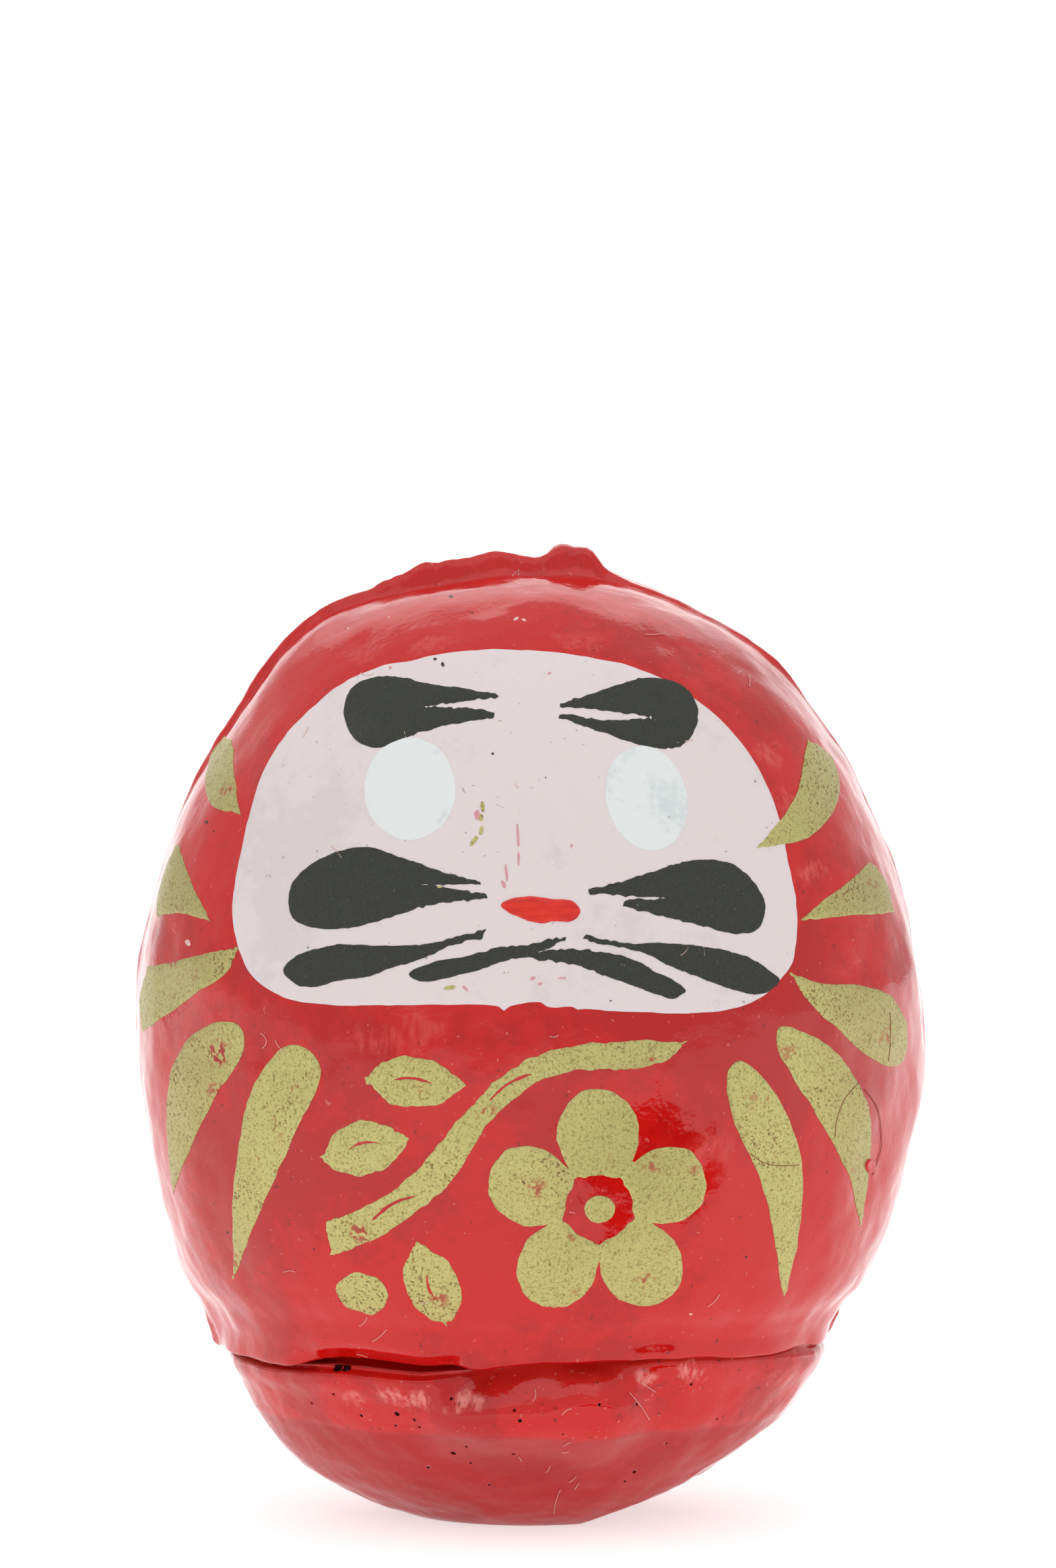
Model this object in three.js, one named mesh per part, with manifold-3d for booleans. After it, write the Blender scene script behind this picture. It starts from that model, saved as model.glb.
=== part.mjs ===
// Daruma doll: a moulded paper shell in two halves on a cast base weight, with its painted marks.
// Millimetres, +Z up. The origin is the centre of the flat standing face, and the doll looks along -Y.
// Left and right are as seen from the front, so left is -X.
import * as THREE from 'three';
import { mergeVertices } from 'three/addons/utils/BufferGeometryUtils.js';
import Module from 'manifold-3d';

const wasm = await Module();
wasm.setup();

// Body: an egg whose upright section is a superellipse, squeezed a little from front to back
const bodyWidth = 60.6;
const bodyDepth = 55;
const crownHeight = 72.4;
const widestShare = 0.511;
const fullness = 2.1;
const wall = 1.4;
const lipHeight = 13.2;

// Base weight: a cast dome that the shell's lip overhangs, with a plug that goes up into the shell
const standRadius = 9;
const baseFullness = 1.35;
const lipOverhang = 0.5;
const glueLine = 0.3;
const plugHeight = 4;
const plugClearance = 0.3;

// Seam ridge: what is left of the mould's flange, from one lip over the crown to the other.
// Each height stands at its share of that way.
const ridgeThickness = 2;
const ridgeRoot = 0.7;
const ridgeHeights = [
  [0, 0.8],
  [0.05, 0.3],
  [0.3, 0.4],
  [0.36, 1.8],
  [0.56, 1.6],
  [0.64, 0.5],
  [0.95, 0.3],
  [1, 0.8],
];

// Crown nub: the lump of paste on the ridge
const nubOffset = 2.9;
const nubRise = 2.6;
const nubHalfWidth = 2.4;
const nubHalfDepth = 1.7;
const nubHalfHeight = 2.6;

// Paint: each mark is a thin film over the shell, and marks on the face lie over the face's own film
const paintGap = 0.1;
const paintThickness = 0.25;
const seamMargin = 1;

// The marks' outlines are drawn for a doll of this size, and follow the body when its size changes
const drawnWidth = 60.6;
const drawnHeight = 72.4;

// Fineness of the faceted surfaces
const turns = 40;
const rings = 15;
const baseRings = 7;
const ridgeSteps = 32;
const outlineSteps = 2;
const ellipseSteps = 10;

const lacquer = { color: 0xbe3937, roughness: 0.22, metalness: 0 };
const baseLacquer = { color: 0xba4142, roughness: 0.3, metalness: 0 };
const facePaint = { color: 0xe1d5d5, roughness: 0.55, metalness: 0 };
const eyePaint = { color: 0xe3e7e6, roughness: 0.6, metalness: 0 };
const inkPaint = { color: 0x3e4544, roughness: 0.8, metalness: 0 };
const mouthPaint = { color: 0xdc3e2a, roughness: 0.25, metalness: 0 };
const goldPaint = { color: 0xbab271, roughness: 0.5, metalness: 0.5 };

// Solids

function solidOf(geometry) {
  geometry.deleteAttribute('normal');
  geometry.deleteAttribute('uv');
  const merged = mergeVertices(geometry, 1e-4);
  const corners = [];
  for (let i = 0; i < merged.index.count; i += 3) {
    const [a, b, c] = [0, 1, 2].map((k) => merged.index.getX(i + k));
    if (a !== b && b !== c && c !== a) corners.push(a, b, c);
  }
  return new wasm.Manifold(
    new wasm.Mesh({
      numProp: 3,
      vertProperties: merged.attributes.position.array,
      triVerts: new Uint32Array(corners),
    }),
  );
}

function geometryOf(solid) {
  const mesh = solid.getMesh();
  const geometry = new THREE.BufferGeometry();
  geometry.setAttribute('position', new THREE.BufferAttribute(mesh.vertProperties, 3));
  geometry.setIndex(new THREE.BufferAttribute(mesh.triVerts, 1));
  const flat = geometry.toNonIndexed();
  flat.computeVertexNormals();
  return flat;
}

function piece(name, solid, look) {
  const mesh = new THREE.Mesh(geometryOf(solid), new THREE.MeshStandardMaterial(look));
  mesh.name = name;
  return mesh;
}

// Body surface

const halfWidth = bodyWidth / 2;
const widestHeight = crownHeight * widestShare;
const halfHeight = crownHeight - widestHeight;
const depthRatio = bodyDepth / bodyWidth;
const power = 2 / fullness;

// The section's angle where the shell ends at its lip, below the widest height
const lipAngle = -Math.asin(((widestHeight - lipHeight) / halfHeight) ** (1 / power));

function sectionPoint(angle, offset) {
  const across = Math.max(Math.cos(angle), 0) ** power;
  const up = Math.sign(angle) * Math.abs(Math.sin(angle)) ** power;
  const normal = new THREE.Vector2(
    across ** (fullness - 1) / halfWidth,
    (Math.sign(up) * Math.abs(up) ** (fullness - 1)) / halfHeight,
  ).normalize();
  const point = new THREE.Vector2(halfWidth * across, widestHeight + halfHeight * up);
  return point.addScaledVector(normal, offset);
}

function section(offset) {
  const points = [];
  for (let i = 0; i <= rings; i++) {
    const point = sectionPoint(lipAngle + ((Math.PI / 2 - lipAngle) * i) / rings, offset);
    if (i === 0) point.y = lipHeight;
    if (i === rings) point.x = 0;
    points.push(point);
  }
  return points;
}

// A turned solid about Z, squeezed front to back like the body
function turned(profile) {
  const geometry = new THREE.LatheGeometry(profile, turns);
  geometry.rotateX(Math.PI / 2);
  geometry.scale(1, depthRatio, 1);
  return solidOf(geometry);
}

// The part of the body's skin between two distances from its surface
function skin(inner, outer) {
  const outside = section(outer);
  const inside = section(inner).reverse();
  return turned([...outside, ...inside, outside[0].clone()]);
}

function halfSpace(side) {
  const size = 200;
  const geometry = new THREE.BoxGeometry(size, size, size);
  geometry.translate(0, (side * size) / 2, 0);
  return solidOf(geometry);
}

// Shell with its seam ridge and nub

function ridgeHeightAt(share) {
  const next = Math.max(1, ridgeHeights.findIndex(([at]) => at >= share));
  const [fromShare, fromHeight] = ridgeHeights[next - 1];
  const [toShare, toHeight] = ridgeHeights[next];
  return THREE.MathUtils.mapLinear(share, fromShare, toShare, fromHeight, toHeight);
}

function ridgePoint(share, offset) {
  const fromCrown = 2 * share - 1;
  const angle = Math.PI / 2 - Math.abs(fromCrown) * (Math.PI / 2 - lipAngle);
  const point = sectionPoint(angle, offset);
  return new THREE.Vector2(Math.sign(fromCrown) * point.x, Math.max(point.y, lipHeight));
}

function seamRidge() {
  const crest = [];
  const root = [];
  for (let i = 0; i <= ridgeSteps; i++) {
    const share = i / ridgeSteps;
    crest.push(ridgePoint(share, ridgeHeightAt(share)));
    root.push(ridgePoint(share, -ridgeRoot));
  }
  const shape = new THREE.Shape([...crest, ...root.reverse()]);
  const geometry = new THREE.ExtrudeGeometry(shape, { depth: ridgeThickness, bevelEnabled: false });
  geometry.rotateX(Math.PI / 2);
  geometry.translate(0, ridgeThickness / 2, 0);
  return solidOf(geometry);
}

function crownNub() {
  const geometry = new THREE.SphereGeometry(1, 12, 8);
  geometry.scale(nubHalfWidth, nubHalfDepth, nubHalfHeight);
  geometry.translate(nubOffset, 0, crownHeight + nubRise - nubHalfHeight);
  return solidOf(geometry);
}

// The room inside the shell, which the nub is kept out of
const inside = section(-wall);
const hollow = turned([new THREE.Vector2(0, inside[0].y), ...inside]);
const shell = skin(-wall, 0).add(seamRidge()).add(crownNub().subtract(hollow));
const frontShell = shell.intersect(halfSpace(-1));
const backShell = shell.intersect(halfSpace(1));

// Base weight

const lipRadius = sectionPoint(lipAngle, 0).x;
const baseRadius = lipRadius - lipOverhang;
const baseTop = lipHeight - glueLine;
const plugRadius = inside[0].x - plugClearance;

function baseProfile() {
  const points = [new THREE.Vector2(0, 0)];
  for (let i = 0; i <= baseRings; i++) {
    const angle = (Math.PI / 2) * (i / baseRings);
    const out = Math.sin(angle) ** (2 / baseFullness);
    const down = Math.max(Math.cos(angle), 0) ** (2 / baseFullness);
    const radius = standRadius + (baseRadius - standRadius) * out;
    points.push(new THREE.Vector2(radius, baseTop * (1 - down)));
  }
  points[points.length - 1].y = baseTop;
  points.push(new THREE.Vector2(plugRadius, baseTop));
  points.push(new THREE.Vector2(plugRadius, baseTop + plugHeight));
  points.push(new THREE.Vector2(0, baseTop + plugHeight));
  return points;
}

// Painted marks, each drawn in front view: x across, z up

const drawnMiddle = drawnHeight * widestShare;
const acrossScale = bodyWidth / drawnWidth;
const upScale = crownHeight / drawnHeight;
const place = ([x, z]) => new THREE.Vector2(x * acrossScale, widestHeight + (z - drawnMiddle) * upScale);

// Smooth runs of points, with a corner at each run's last point
function outline(...runs) {
  const shape = new THREE.Shape();
  const start = place(runs[0][0]);
  shape.moveTo(start.x, start.y);
  runs.forEach((run, i) => shape.splineThru(run.slice(i === 0 ? 1 : 0).map(place)));
  return shape;
}

function roundOutline(points) {
  const loop = points.map(place).map((p) => new THREE.Vector3(p.x, p.y, 0));
  const curve = new THREE.CatmullRomCurve3(loop, true, 'centripetal');
  const count = points.length * outlineSteps;
  const around = curve.getPoints(count).slice(0, count);
  return new THREE.Shape(around.map((p) => new THREE.Vector2(p.x, p.y)));
}

function ellipse(x, z, halfAcross, halfUp, tilt) {
  const centre = place([x, z]);
  const [radiusAcross, radiusUp] = [halfAcross * acrossScale, halfUp * upScale];
  const shape = new THREE.Shape();
  shape.absellipse(centre.x, centre.y, radiusAcross, radiusUp, 0, 2 * Math.PI, false, tilt);
  return shape;
}

const layers = [0, 1].map((level) => {
  const inner = paintGap + level * (paintGap + paintThickness);
  return skin(inner, inner + paintThickness);
});

function film(shape, level = 0) {
  const curveSegments = shape.curves[0].isEllipseCurve ? ellipseSteps : outlineSteps;
  const geometry = new THREE.ExtrudeGeometry(shape, {
    depth: bodyDepth,
    bevelEnabled: false,
    curveSegments,
  });
  geometry.rotateX(Math.PI / 2);
  geometry.translate(0, -seamMargin, 0);
  return layers[level].intersect(solidOf(geometry));
}

const faceOutline = roundOutline([
  [0, 67], [-7.5, 66.3], [-12.5, 65.2], [-17.1, 61.9], [-19.7, 57.9], [-21.1, 53.8],
  [-21.8, 49.7], [-21.8, 46.5], [-21, 43.8], [-19.2, 42], [-16.8, 41.2], [-10, 41.2],
  [0, 41.4], [7, 40.8], [13.5, 40.6], [16.5, 41.2], [18.8, 43], [19.8, 44.6],
  [20, 47.3], [19.4, 51.4], [17.8, 56.9], [15.3, 60.8], [12.1, 63.6], [7, 65.9],
]);

const browLeftOutline = outline(
  [
    [-2.1, 63.6], [-6.6, 64.3], [-10.6, 65], [-13.2, 64.2], [-13.9, 62.4], [-13.1, 60.6],
    [-11.4, 59.9], [-8, 61], [-2.5, 62],
  ],
  [[-2.5, 62.3], [-7.7, 62.8]],
  [[-2.1, 63.4]],
);
const browRightOutline = outline(
  [
    [2.4, 63], [5, 63.9], [9.1, 64.8], [11.9, 64], [12.7, 61.9], [11.5, 60], [9.5, 59.8],
    [5.1, 61.1], [2.3, 62],
  ],
  [[2.3, 62.2], [6, 61.8], [9.3, 62]],
  [[6, 62.5], [2.4, 62.8]],
);
const cheekLeftOutline = outline(
  [
    [-3.5, 50.3], [-7.5, 51.3], [-11.9, 52.6], [-15.3, 51.6], [-17.4, 49.7], [-17.4, 47.4],
    [-15.4, 46.6], [-12.4, 46.9], [-7.2, 48.5], [-3, 49.1],
  ],
  [[-3.1, 49.3], [-7.9, 50]],
  [[-3.5, 50.1]],
);
const cheekRightOutline = outline(
  [
    [4.5, 49.7], [8, 50.6], [12.4, 51.7], [15.5, 51.1], [17.5, 48.5], [17, 46.6],
    [15.4, 46.2], [12.7, 46.9], [7, 48.5],
  ],
  [[7.1, 48.8], [10.1, 49]],
  [[4.6, 49.4]],
);
const whiskerLeftOutline = outline(
  [
    [-3.2, 46.9], [-6.4, 46], [-10, 45.5], [-15, 45.3], [-17.7, 44], [-17.5, 42.7],
    [-16, 42.3], [-12, 43.2], [-6.6, 45.1], [-3.3, 46.6],
  ],
);
const whiskerRightOutline = outline(
  [
    [4.1, 46.2], [6.7, 45.4], [10.3, 44.1], [14.4, 42.4], [17, 41.8], [18.4, 42.6],
    [17.3, 43.8], [14.4, 45], [9, 45.7], [4.3, 46.4],
  ],
);
const whiskerCentreOutline = outline(
  [
    [2.7, 46.3], [-3.2, 45.2], [-7.3, 44.3], [-8.6, 43.5], [-7.6, 42.9], [-3.2, 44],
    [0.8, 44.7],
  ],
  [[5.5, 43.5], [8.3, 42.4], [10.5, 41.7], [11.6, 42.2], [9.5, 43.6], [5.3, 45.2], [0.9, 45.2]],
  [[2.6, 46]],
);
const mouthOutline = roundOutline(
  [[-1.7, 48.5], [-0.6, 49.3], [2.1, 49.2], [3.7, 48], [2.9, 47.5], [0.2, 47.3]],
);

const stripeLeftOutlines = [
  outline(
    [[-21.6, 54.6], [-22.2, 57.3], [-22.7, 60]],
    [[-24.1, 60.1], [-24.8, 57.6], [-24, 55.2], [-21.6, 54.6]],
  ),
  outline(
    [[-23.6, 46.6], [-25, 49], [-26.5, 52]],
    [[-27.7, 50], [-28.3, 47.7], [-28.1, 46.4]],
    [[-26, 47], [-23.6, 46.6]],
  ),
  outline(
    [[-21.5, 44.9], [-22.5, 42.8], [-25, 41], [-29.4, 37.6]],
    [[-29.7, 40], [-28.9, 42.6]],
    [[-25, 43.9], [-21.5, 44.9]],
  ),
  outline(
    [
      [-26.9, 25.4], [-27, 33.5], [-25.8, 37.3], [-23.3, 39.2], [-21.5, 39.2], [-21, 37.6],
      [-23.3, 33.6], [-26.2, 27], [-26.9, 25.4],
    ],
  ),
  outline(
    [
      [-22.3, 19.4], [-21.9, 26.3], [-20.5, 34], [-18, 37.8], [-16.3, 37.8], [-15.2, 36.2],
      [-17.3, 30.8], [-20, 25], [-22.3, 19.4],
    ],
  ),
];
const stripeRightOutlines = [
  outline(
    [[17, 52.4], [20, 56.1], [21.1, 60]],
    [[23.2, 58.7], [23.8, 56.3], [21.1, 53.1], [17, 52.4]],
  ),
  outline(
    [[20.3, 47], [25, 47], [27.8, 46.8]],
    [[27.4, 49], [26, 50.9]],
    [[23.1, 49], [20.3, 47]],
  ),
  outline(
    [
      [19.2, 43.2], [20.3, 41.5], [24, 37.8], [27.1, 35.5], [28.5, 35.5], [28.8, 37.6],
      [27.6, 40.4], [25, 41.8], [21.5, 42.3], [19.2, 43.2],
    ],
  ),
  outline(
    [
      [25.2, 23.2], [24.3, 27.1], [21.5, 32.6], [18.3, 37.8], [18.4, 39.2], [20.3, 38.8],
      [23.1, 36.8], [25.3, 33.4], [26.1, 28.5], [25.2, 23.2],
    ],
  ),
  outline(
    [
      [19.1, 18.4], [17.4, 27.6], [14.9, 33.2], [14.6, 36], [15.5, 36.9], [18.3, 34.3],
      [20.4, 29.6], [20.3, 24], [19.1, 18.4],
    ],
  ),
];

// Emblem: a sprig with one open blossom, its bough, three leaves and a bud
const blossomCentre = [5.2, 26.2];
const blossomRadius = 8.6;
const blossomWaist = 3.4;
const petalCount = 5;
const petalSteps = 8;

// The radius swells from the waist between two petals to the middle of each petal
function blossomOutline() {
  const [x, z] = blossomCentre;
  const points = [];
  for (let i = 0; i < petalCount * petalSteps; i++) {
    const around = (2 * Math.PI * i) / (petalCount * petalSteps);
    const swell = Math.abs(Math.cos((petalCount * around) / 2)) ** 0.55;
    const radius = blossomWaist + (blossomRadius - blossomWaist) * swell;
    points.push(place([x - radius * Math.sin(around), z + radius * Math.cos(around)]));
  }
  return new THREE.Shape(points);
}

const boughOutline = outline(
  [[-14.8, 22], [-10, 24.5], [-5.6, 28.4], [-2.6, 33], [2, 36.2], [9.4, 36.9], [11.6, 38.5]],
  [[5, 38.5], [-0.6, 37], [-5, 32.9], [-8.6, 28.6], [-12, 26.2], [-14.9, 24.8]],
);
const leafUpperOutline = outline(
  [[-4.6, 35.4], [-7, 37.2], [-9.6, 37.4], [-12, 35.8]],
  [[-9.8, 34], [-7, 33.9], [-4.6, 35.4]],
);
const leafMiddleOutline = outline(
  [[-8.6, 31.4], [-11.2, 32.6], [-13.8, 32], [-15.2, 29.8]],
  [[-12.8, 28.6], [-10.4, 29.2], [-8.6, 31.4]],
);
const leafLowerOutline = outline(
  [[-8.2, 23.6], [-9.2, 21], [-8.4, 18.6], [-6, 16.9]],
  [[-5, 19.4], [-5.8, 22], [-8.2, 23.6]],
);
const budOutline = roundOutline(
  [[-11.2, 20.6], [-13, 20.9], [-14.3, 19.6], [-13.4, 18], [-11.4, 17.8], [-10.4, 19.2]],
);

// Doll

const body = new THREE.Group();
body.name = 'body';
body.add(piece('front_shell', frontShell, lacquer));
body.add(piece('back_shell', backShell, lacquer));
body.add(piece('base_weight', turned(baseProfile()), baseLacquer));

const face = new THREE.Group();
face.name = 'face';
face.add(piece('face_panel', film(faceOutline), facePaint));
face.add(piece('eye_left', film(ellipse(-8.75, 56.9, 3.4, 3.7, 0), 1), eyePaint));
face.add(piece('eye_right', film(ellipse(8.75, 56.2, 3, 3.8, 0.3), 1), eyePaint));
face.add(piece('brow_left', film(browLeftOutline, 1), inkPaint));
face.add(piece('brow_right', film(browRightOutline, 1), inkPaint));
face.add(piece('cheek_left', film(cheekLeftOutline, 1), inkPaint));
face.add(piece('cheek_right', film(cheekRightOutline, 1), inkPaint));
face.add(piece('whisker_left', film(whiskerLeftOutline, 1), inkPaint));
face.add(piece('whisker_right', film(whiskerRightOutline, 1), inkPaint));
face.add(piece('whisker_centre', film(whiskerCentreOutline, 1), inkPaint));
face.add(piece('mouth', film(mouthOutline, 1), mouthPaint));

const stripes = new THREE.Group();
stripes.name = 'stripes';
stripeLeftOutlines.forEach((shape, i) => {
  stripes.add(piece(`stripe_left_${i + 1}`, film(shape), goldPaint));
});
// The first stripe on the right runs on over the face
stripeRightOutlines.forEach((shape, i) => {
  stripes.add(piece(`stripe_right_${i + 1}`, film(shape, i === 0 ? 1 : 0), goldPaint));
});

const emblem = new THREE.Group();
emblem.name = 'emblem';
emblem.add(piece('emblem_blossom', film(blossomOutline()), goldPaint));
emblem.add(piece('emblem_bough', film(boughOutline), goldPaint));
emblem.add(piece('emblem_leaf_upper', film(leafUpperOutline), goldPaint));
emblem.add(piece('emblem_leaf_middle', film(leafMiddleOutline), goldPaint));
emblem.add(piece('emblem_leaf_lower', film(leafLowerOutline), goldPaint));
emblem.add(piece('emblem_bud', film(budOutline), goldPaint));

const doll = new THREE.Group();
doll.name = 'daruma_doll';
doll.add(body, face, stripes, emblem);

export default doll;
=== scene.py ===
import math

import bmesh
import bpy
import numpy as np
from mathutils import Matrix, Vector
from mathutils.bvhtree import BVHTree
from mathutils.geometry import delaunay_2d_cdt


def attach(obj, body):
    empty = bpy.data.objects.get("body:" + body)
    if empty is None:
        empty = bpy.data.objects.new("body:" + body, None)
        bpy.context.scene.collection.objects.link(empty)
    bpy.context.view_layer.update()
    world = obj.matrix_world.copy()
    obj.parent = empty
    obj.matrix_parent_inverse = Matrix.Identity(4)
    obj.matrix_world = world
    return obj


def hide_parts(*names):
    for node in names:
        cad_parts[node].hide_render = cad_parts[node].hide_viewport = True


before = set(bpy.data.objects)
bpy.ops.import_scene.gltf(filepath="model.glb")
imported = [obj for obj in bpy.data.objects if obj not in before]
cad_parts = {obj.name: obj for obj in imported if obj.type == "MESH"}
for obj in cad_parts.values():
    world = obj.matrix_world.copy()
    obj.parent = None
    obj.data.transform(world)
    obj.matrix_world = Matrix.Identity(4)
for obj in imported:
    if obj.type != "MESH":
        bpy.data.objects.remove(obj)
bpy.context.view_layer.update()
mm = 0.001

# Camera, floor and light

viewpoint = {
    "distance": 600.0,   # from the doll's axis, mm
    "height": 88.9,      # above the floor, mm
    "pitch": 3.13,       # degrees below level
    "lens": 179.7,       # for 36 mm along the long side
}
studio = {
    "backdrop": 1.0,     # brightness of the white backdrop as it is seen
    "front": 0.76,       # and as it lights the doll from the front
    "back": 1.6,         # and from behind
    "turn": (0.74, 0.97),       # where one becomes the other, 1 being straight behind
    "floor": (0.95, 0.95, 0.95, 1),
    # the floor itself is drawn duller and brighter, so that its shadow is faint
    "floorSeen": (0.62, 0.62, 0.62, 1),
    "floorGlow": 0.62,
    "underGlow": 0.45,   # light from the floor round the doll's foot
    "underReach": (0.05, 0.12),
    "glossGlow": (0.33, 0.65),  # brightness added in reflections, in front and behind
    "glossReach": (0.0, 0.07),
    # soft boxes: place and aim in metres, size in metres, watts
    "boxes": {
        "overhead": ((0.0, -0.35, 0.9), (0, 0, 0.05), (1.3, 1.0), 2.2),
        "left": ((-0.75, -0.35, 0.3), (0, 0, 0.04), (1.0, 1.2), 0.3),
        "right": ((0.75, -0.25, 0.35), (0, 0, 0.04), (1.0, 1.2), 0.3),
        "behind": ((-0.05, 0.7, 0.78), (0, 0, 0.05), (1.1, 0.38), 1.0),
    },
    # a dark card that only shows as a reflection: centre in metres, half sizes
    "screenLow": ((0.05, -0.1, 0.0005), (0.03, 0.042)),
}
# the ideal body, mm
egg = {"halfWidth": 30.3, "halfDepth": 27.5, "crown": 72.4, "widest": 37.0, "fullness": 2.1}

# Small tools for nodes and meshes


def feed(tree, socket, value):  # links a socket, or sets its plain value
    if isinstance(value, bpy.types.NodeSocket):
        tree.links.new(value, socket)
    else:
        socket.default_value = value


def addNode(tree, kind, inputs=None, **settings):
    node = tree.nodes.new(kind)
    for key, value in settings.items():
        setattr(node, key, value)
    for key, value in (inputs or {}).items():
        feed(tree, node.inputs[key], value)
    return node


def maths(tree, operation, *values):
    return addNode(tree, "ShaderNodeMath", dict(enumerate(values)), operation=operation).outputs[0]


def times(tree, first, second):
    return maths(tree, "MULTIPLY", first, second)


def plus(tree, first, second):
    return maths(tree, "ADD", first, second)


def swing(tree, value, size):  # a 0-1 value as a move to both sides of nothing
    return times(tree, maths(tree, "SUBTRACT", value, 0.5), size)


def mapped(tree, value, low, high, toLow=0.0, toHigh=1.0):
    return addNode(tree, "ShaderNodeMapRange", {
        "Value": value, "From Min": low, "From Max": high, "To Min": toLow, "To Max": toHigh,
    }, interpolation_type="SMOOTHSTEP").outputs["Result"]


def mixed(tree, factor, first, second):
    return addNode(tree, "ShaderNodeMix", {0: factor, 6: first, 7: second}, data_type="RGBA").outputs[2]


def split(tree, vector, axis):
    return addNode(tree, "ShaderNodeSeparateXYZ", {"Vector": vector}).outputs[axis]


def noise(tree, place, scale, detail, seed=None, **more):  # its pattern, from 0 to 1
    sockets = {"Vector": place, "Scale": scale, "Detail": detail, **more}
    if seed is not None:
        sockets["W"] = seed
    dimensions = "3D" if seed is None else "4D"
    return addNode(tree, "ShaderNodeTexNoise", sockets, noise_dimensions=dimensions).outputs["Fac"]


def newGroup(name, kind, inputs, outputs):
    tree = bpy.data.node_groups.new(name, kind)
    for label, socket, value in inputs:
        made = tree.interface.new_socket(label, in_out="INPUT", socket_type="NodeSocket" + socket)
        if value is not None:
            made.default_value = value
    for label, socket in outputs:
        tree.interface.new_socket(label, in_out="OUTPUT", socket_type="NodeSocket" + socket)
    return tree, tree.nodes.new("NodeGroupInput").outputs, tree.nodes.new("NodeGroupOutput").inputs


def newShapeTree(name, *inputs):  # a geometry tree that coats what it makes
    return newGroup(name, "GeometryNodeTree", [
        ("Geometry", "Geometry", None), ("Material", "Material", None), *inputs], [("Geometry", "Geometry")])


def endTree(tree, start, end, geometry, selection=True):
    real = addNode(tree, "GeometryNodeRealizeInstances", {"Geometry": geometry})
    coated = addNode(tree, "GeometryNodeSetMaterial", {
        "Geometry": real.outputs[0], "Selection": selection, "Material": start["Material"]})
    tree.links.new(coated.outputs[0], end["Geometry"])
    return tree


def linked(name, data):  # a new object in the scene
    made = bpy.data.objects.new(name, data)
    bpy.context.scene.collection.objects.link(made)
    return made


def makeMesh(name, points, faces, materials):
    mesh = bpy.data.meshes.new(name)
    mesh.from_pydata((np.asarray(points) * mm).tolist(), [], faces)
    mesh.validate()
    for material in materials:
        mesh.materials.append(material)
    mesh.shade_smooth()
    return linked(name, mesh)


def outwards(solid):  # turns every face of a closed mesh outwards
    work = bmesh.new()
    work.from_mesh(solid.data)
    bmesh.ops.recalc_face_normals(work, faces=work.faces)
    if work.calc_volume(signed=True) < 0:
        bmesh.ops.reverse_faces(work, faces=work.faces)
    work.to_mesh(solid.data)
    work.free()


def keepMesh(solid, modifier):  # the modifier's result becomes the plain mesh
    solid.update_tag()
    graph = bpy.context.evaluated_depsgraph_get()
    made = bpy.data.meshes.new_from_object(
        solid.evaluated_get(graph), preserve_all_data_layers=True, depsgraph=graph)
    solid.modifiers.remove(modifier)
    made.name = solid.name
    solid.data = made
    return solid


def applyTree(solid, tree, values):
    modifier = solid.modifiers.new(tree.name, "NODES")
    modifier.node_group = tree
    sockets = {item.name: item.identifier for item in tree.interface.items_tree if item.in_out == "INPUT"}
    for label, value in values.items():
        modifier[sockets[label]] = value
    return keepMesh(solid, modifier)


def storeVectors(mesh, name, vectors):
    layer = mesh.attributes.new(name, "FLOAT_VECTOR", "POINT")
    layer.data.foreach_set("vector", np.asarray(vectors, np.float32).ravel())


def lumps(points, size, seed):  # smooth random lumps about that many mm across, from -1 to 1
    spot = points / size + seed * 17.31
    cell = np.floor(spot).astype(np.int64)
    part = spot - cell
    fade = part ** 3 * (part * (part * 6 - 15) + 10)
    total = np.zeros(len(points))
    for corner in np.ndindex(2, 2, 2):
        at = cell + np.array(corner)
        shuffled = at[:, 0] * 73856093 ^ at[:, 1] * 19349663 ^ at[:, 2] * 83492791 ^ (seed * 9973 + 7)
        shuffled = (shuffled ^ (shuffled >> 13)) * 1274126177
        value = ((shuffled ^ (shuffled >> 16)) & 65535) / 32767.5 - 1
        total += value * np.prod(np.where(np.array(corner) == 1, fade, 1 - fade), axis=1)
    return total


def gentle(x, low, high):  # 0 below low, 1 above high, smooth between
    t = np.clip((x - low) / (high - low), 0, 1)
    return t * t * (3 - 2 * t)


def bump(x, middle, reach):  # 1 at the middle, fading to both sides
    return np.exp(-((x - middle) / reach) ** 2)


def swellings(p, spots):  # each spot is x, y, z, reach and height
    lift = np.zeros(len(p))
    for x, y, z, reach, height in spots:
        lift += height * np.exp(-np.sum((p - np.array([x, y, z])) ** 2, axis=1) / reach ** 2)
    return lift


def srgb(red, green, blue):  # a colour from 0-255 values
    channels = np.array([red, green, blue]) / 255
    linear = np.where(channels <= 0.04045, channels / 12.92, ((channels + 0.055) / 1.055) ** 2.4)
    return (*[float(c) for c in linear], 1.0)


def placeCamera():
    data = bpy.data.cameras.new("camera")
    data.sensor_width = 36
    data.lens = viewpoint["lens"]
    data.clip_start, data.clip_end = 0.01, 20
    camera = linked("camera", data)
    camera.location = (0, -viewpoint["distance"] * mm, viewpoint["height"] * mm)
    camera.rotation_euler = (math.radians(90 - viewpoint["pitch"]), 0, 0)
    bpy.context.scene.camera = camera


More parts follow.
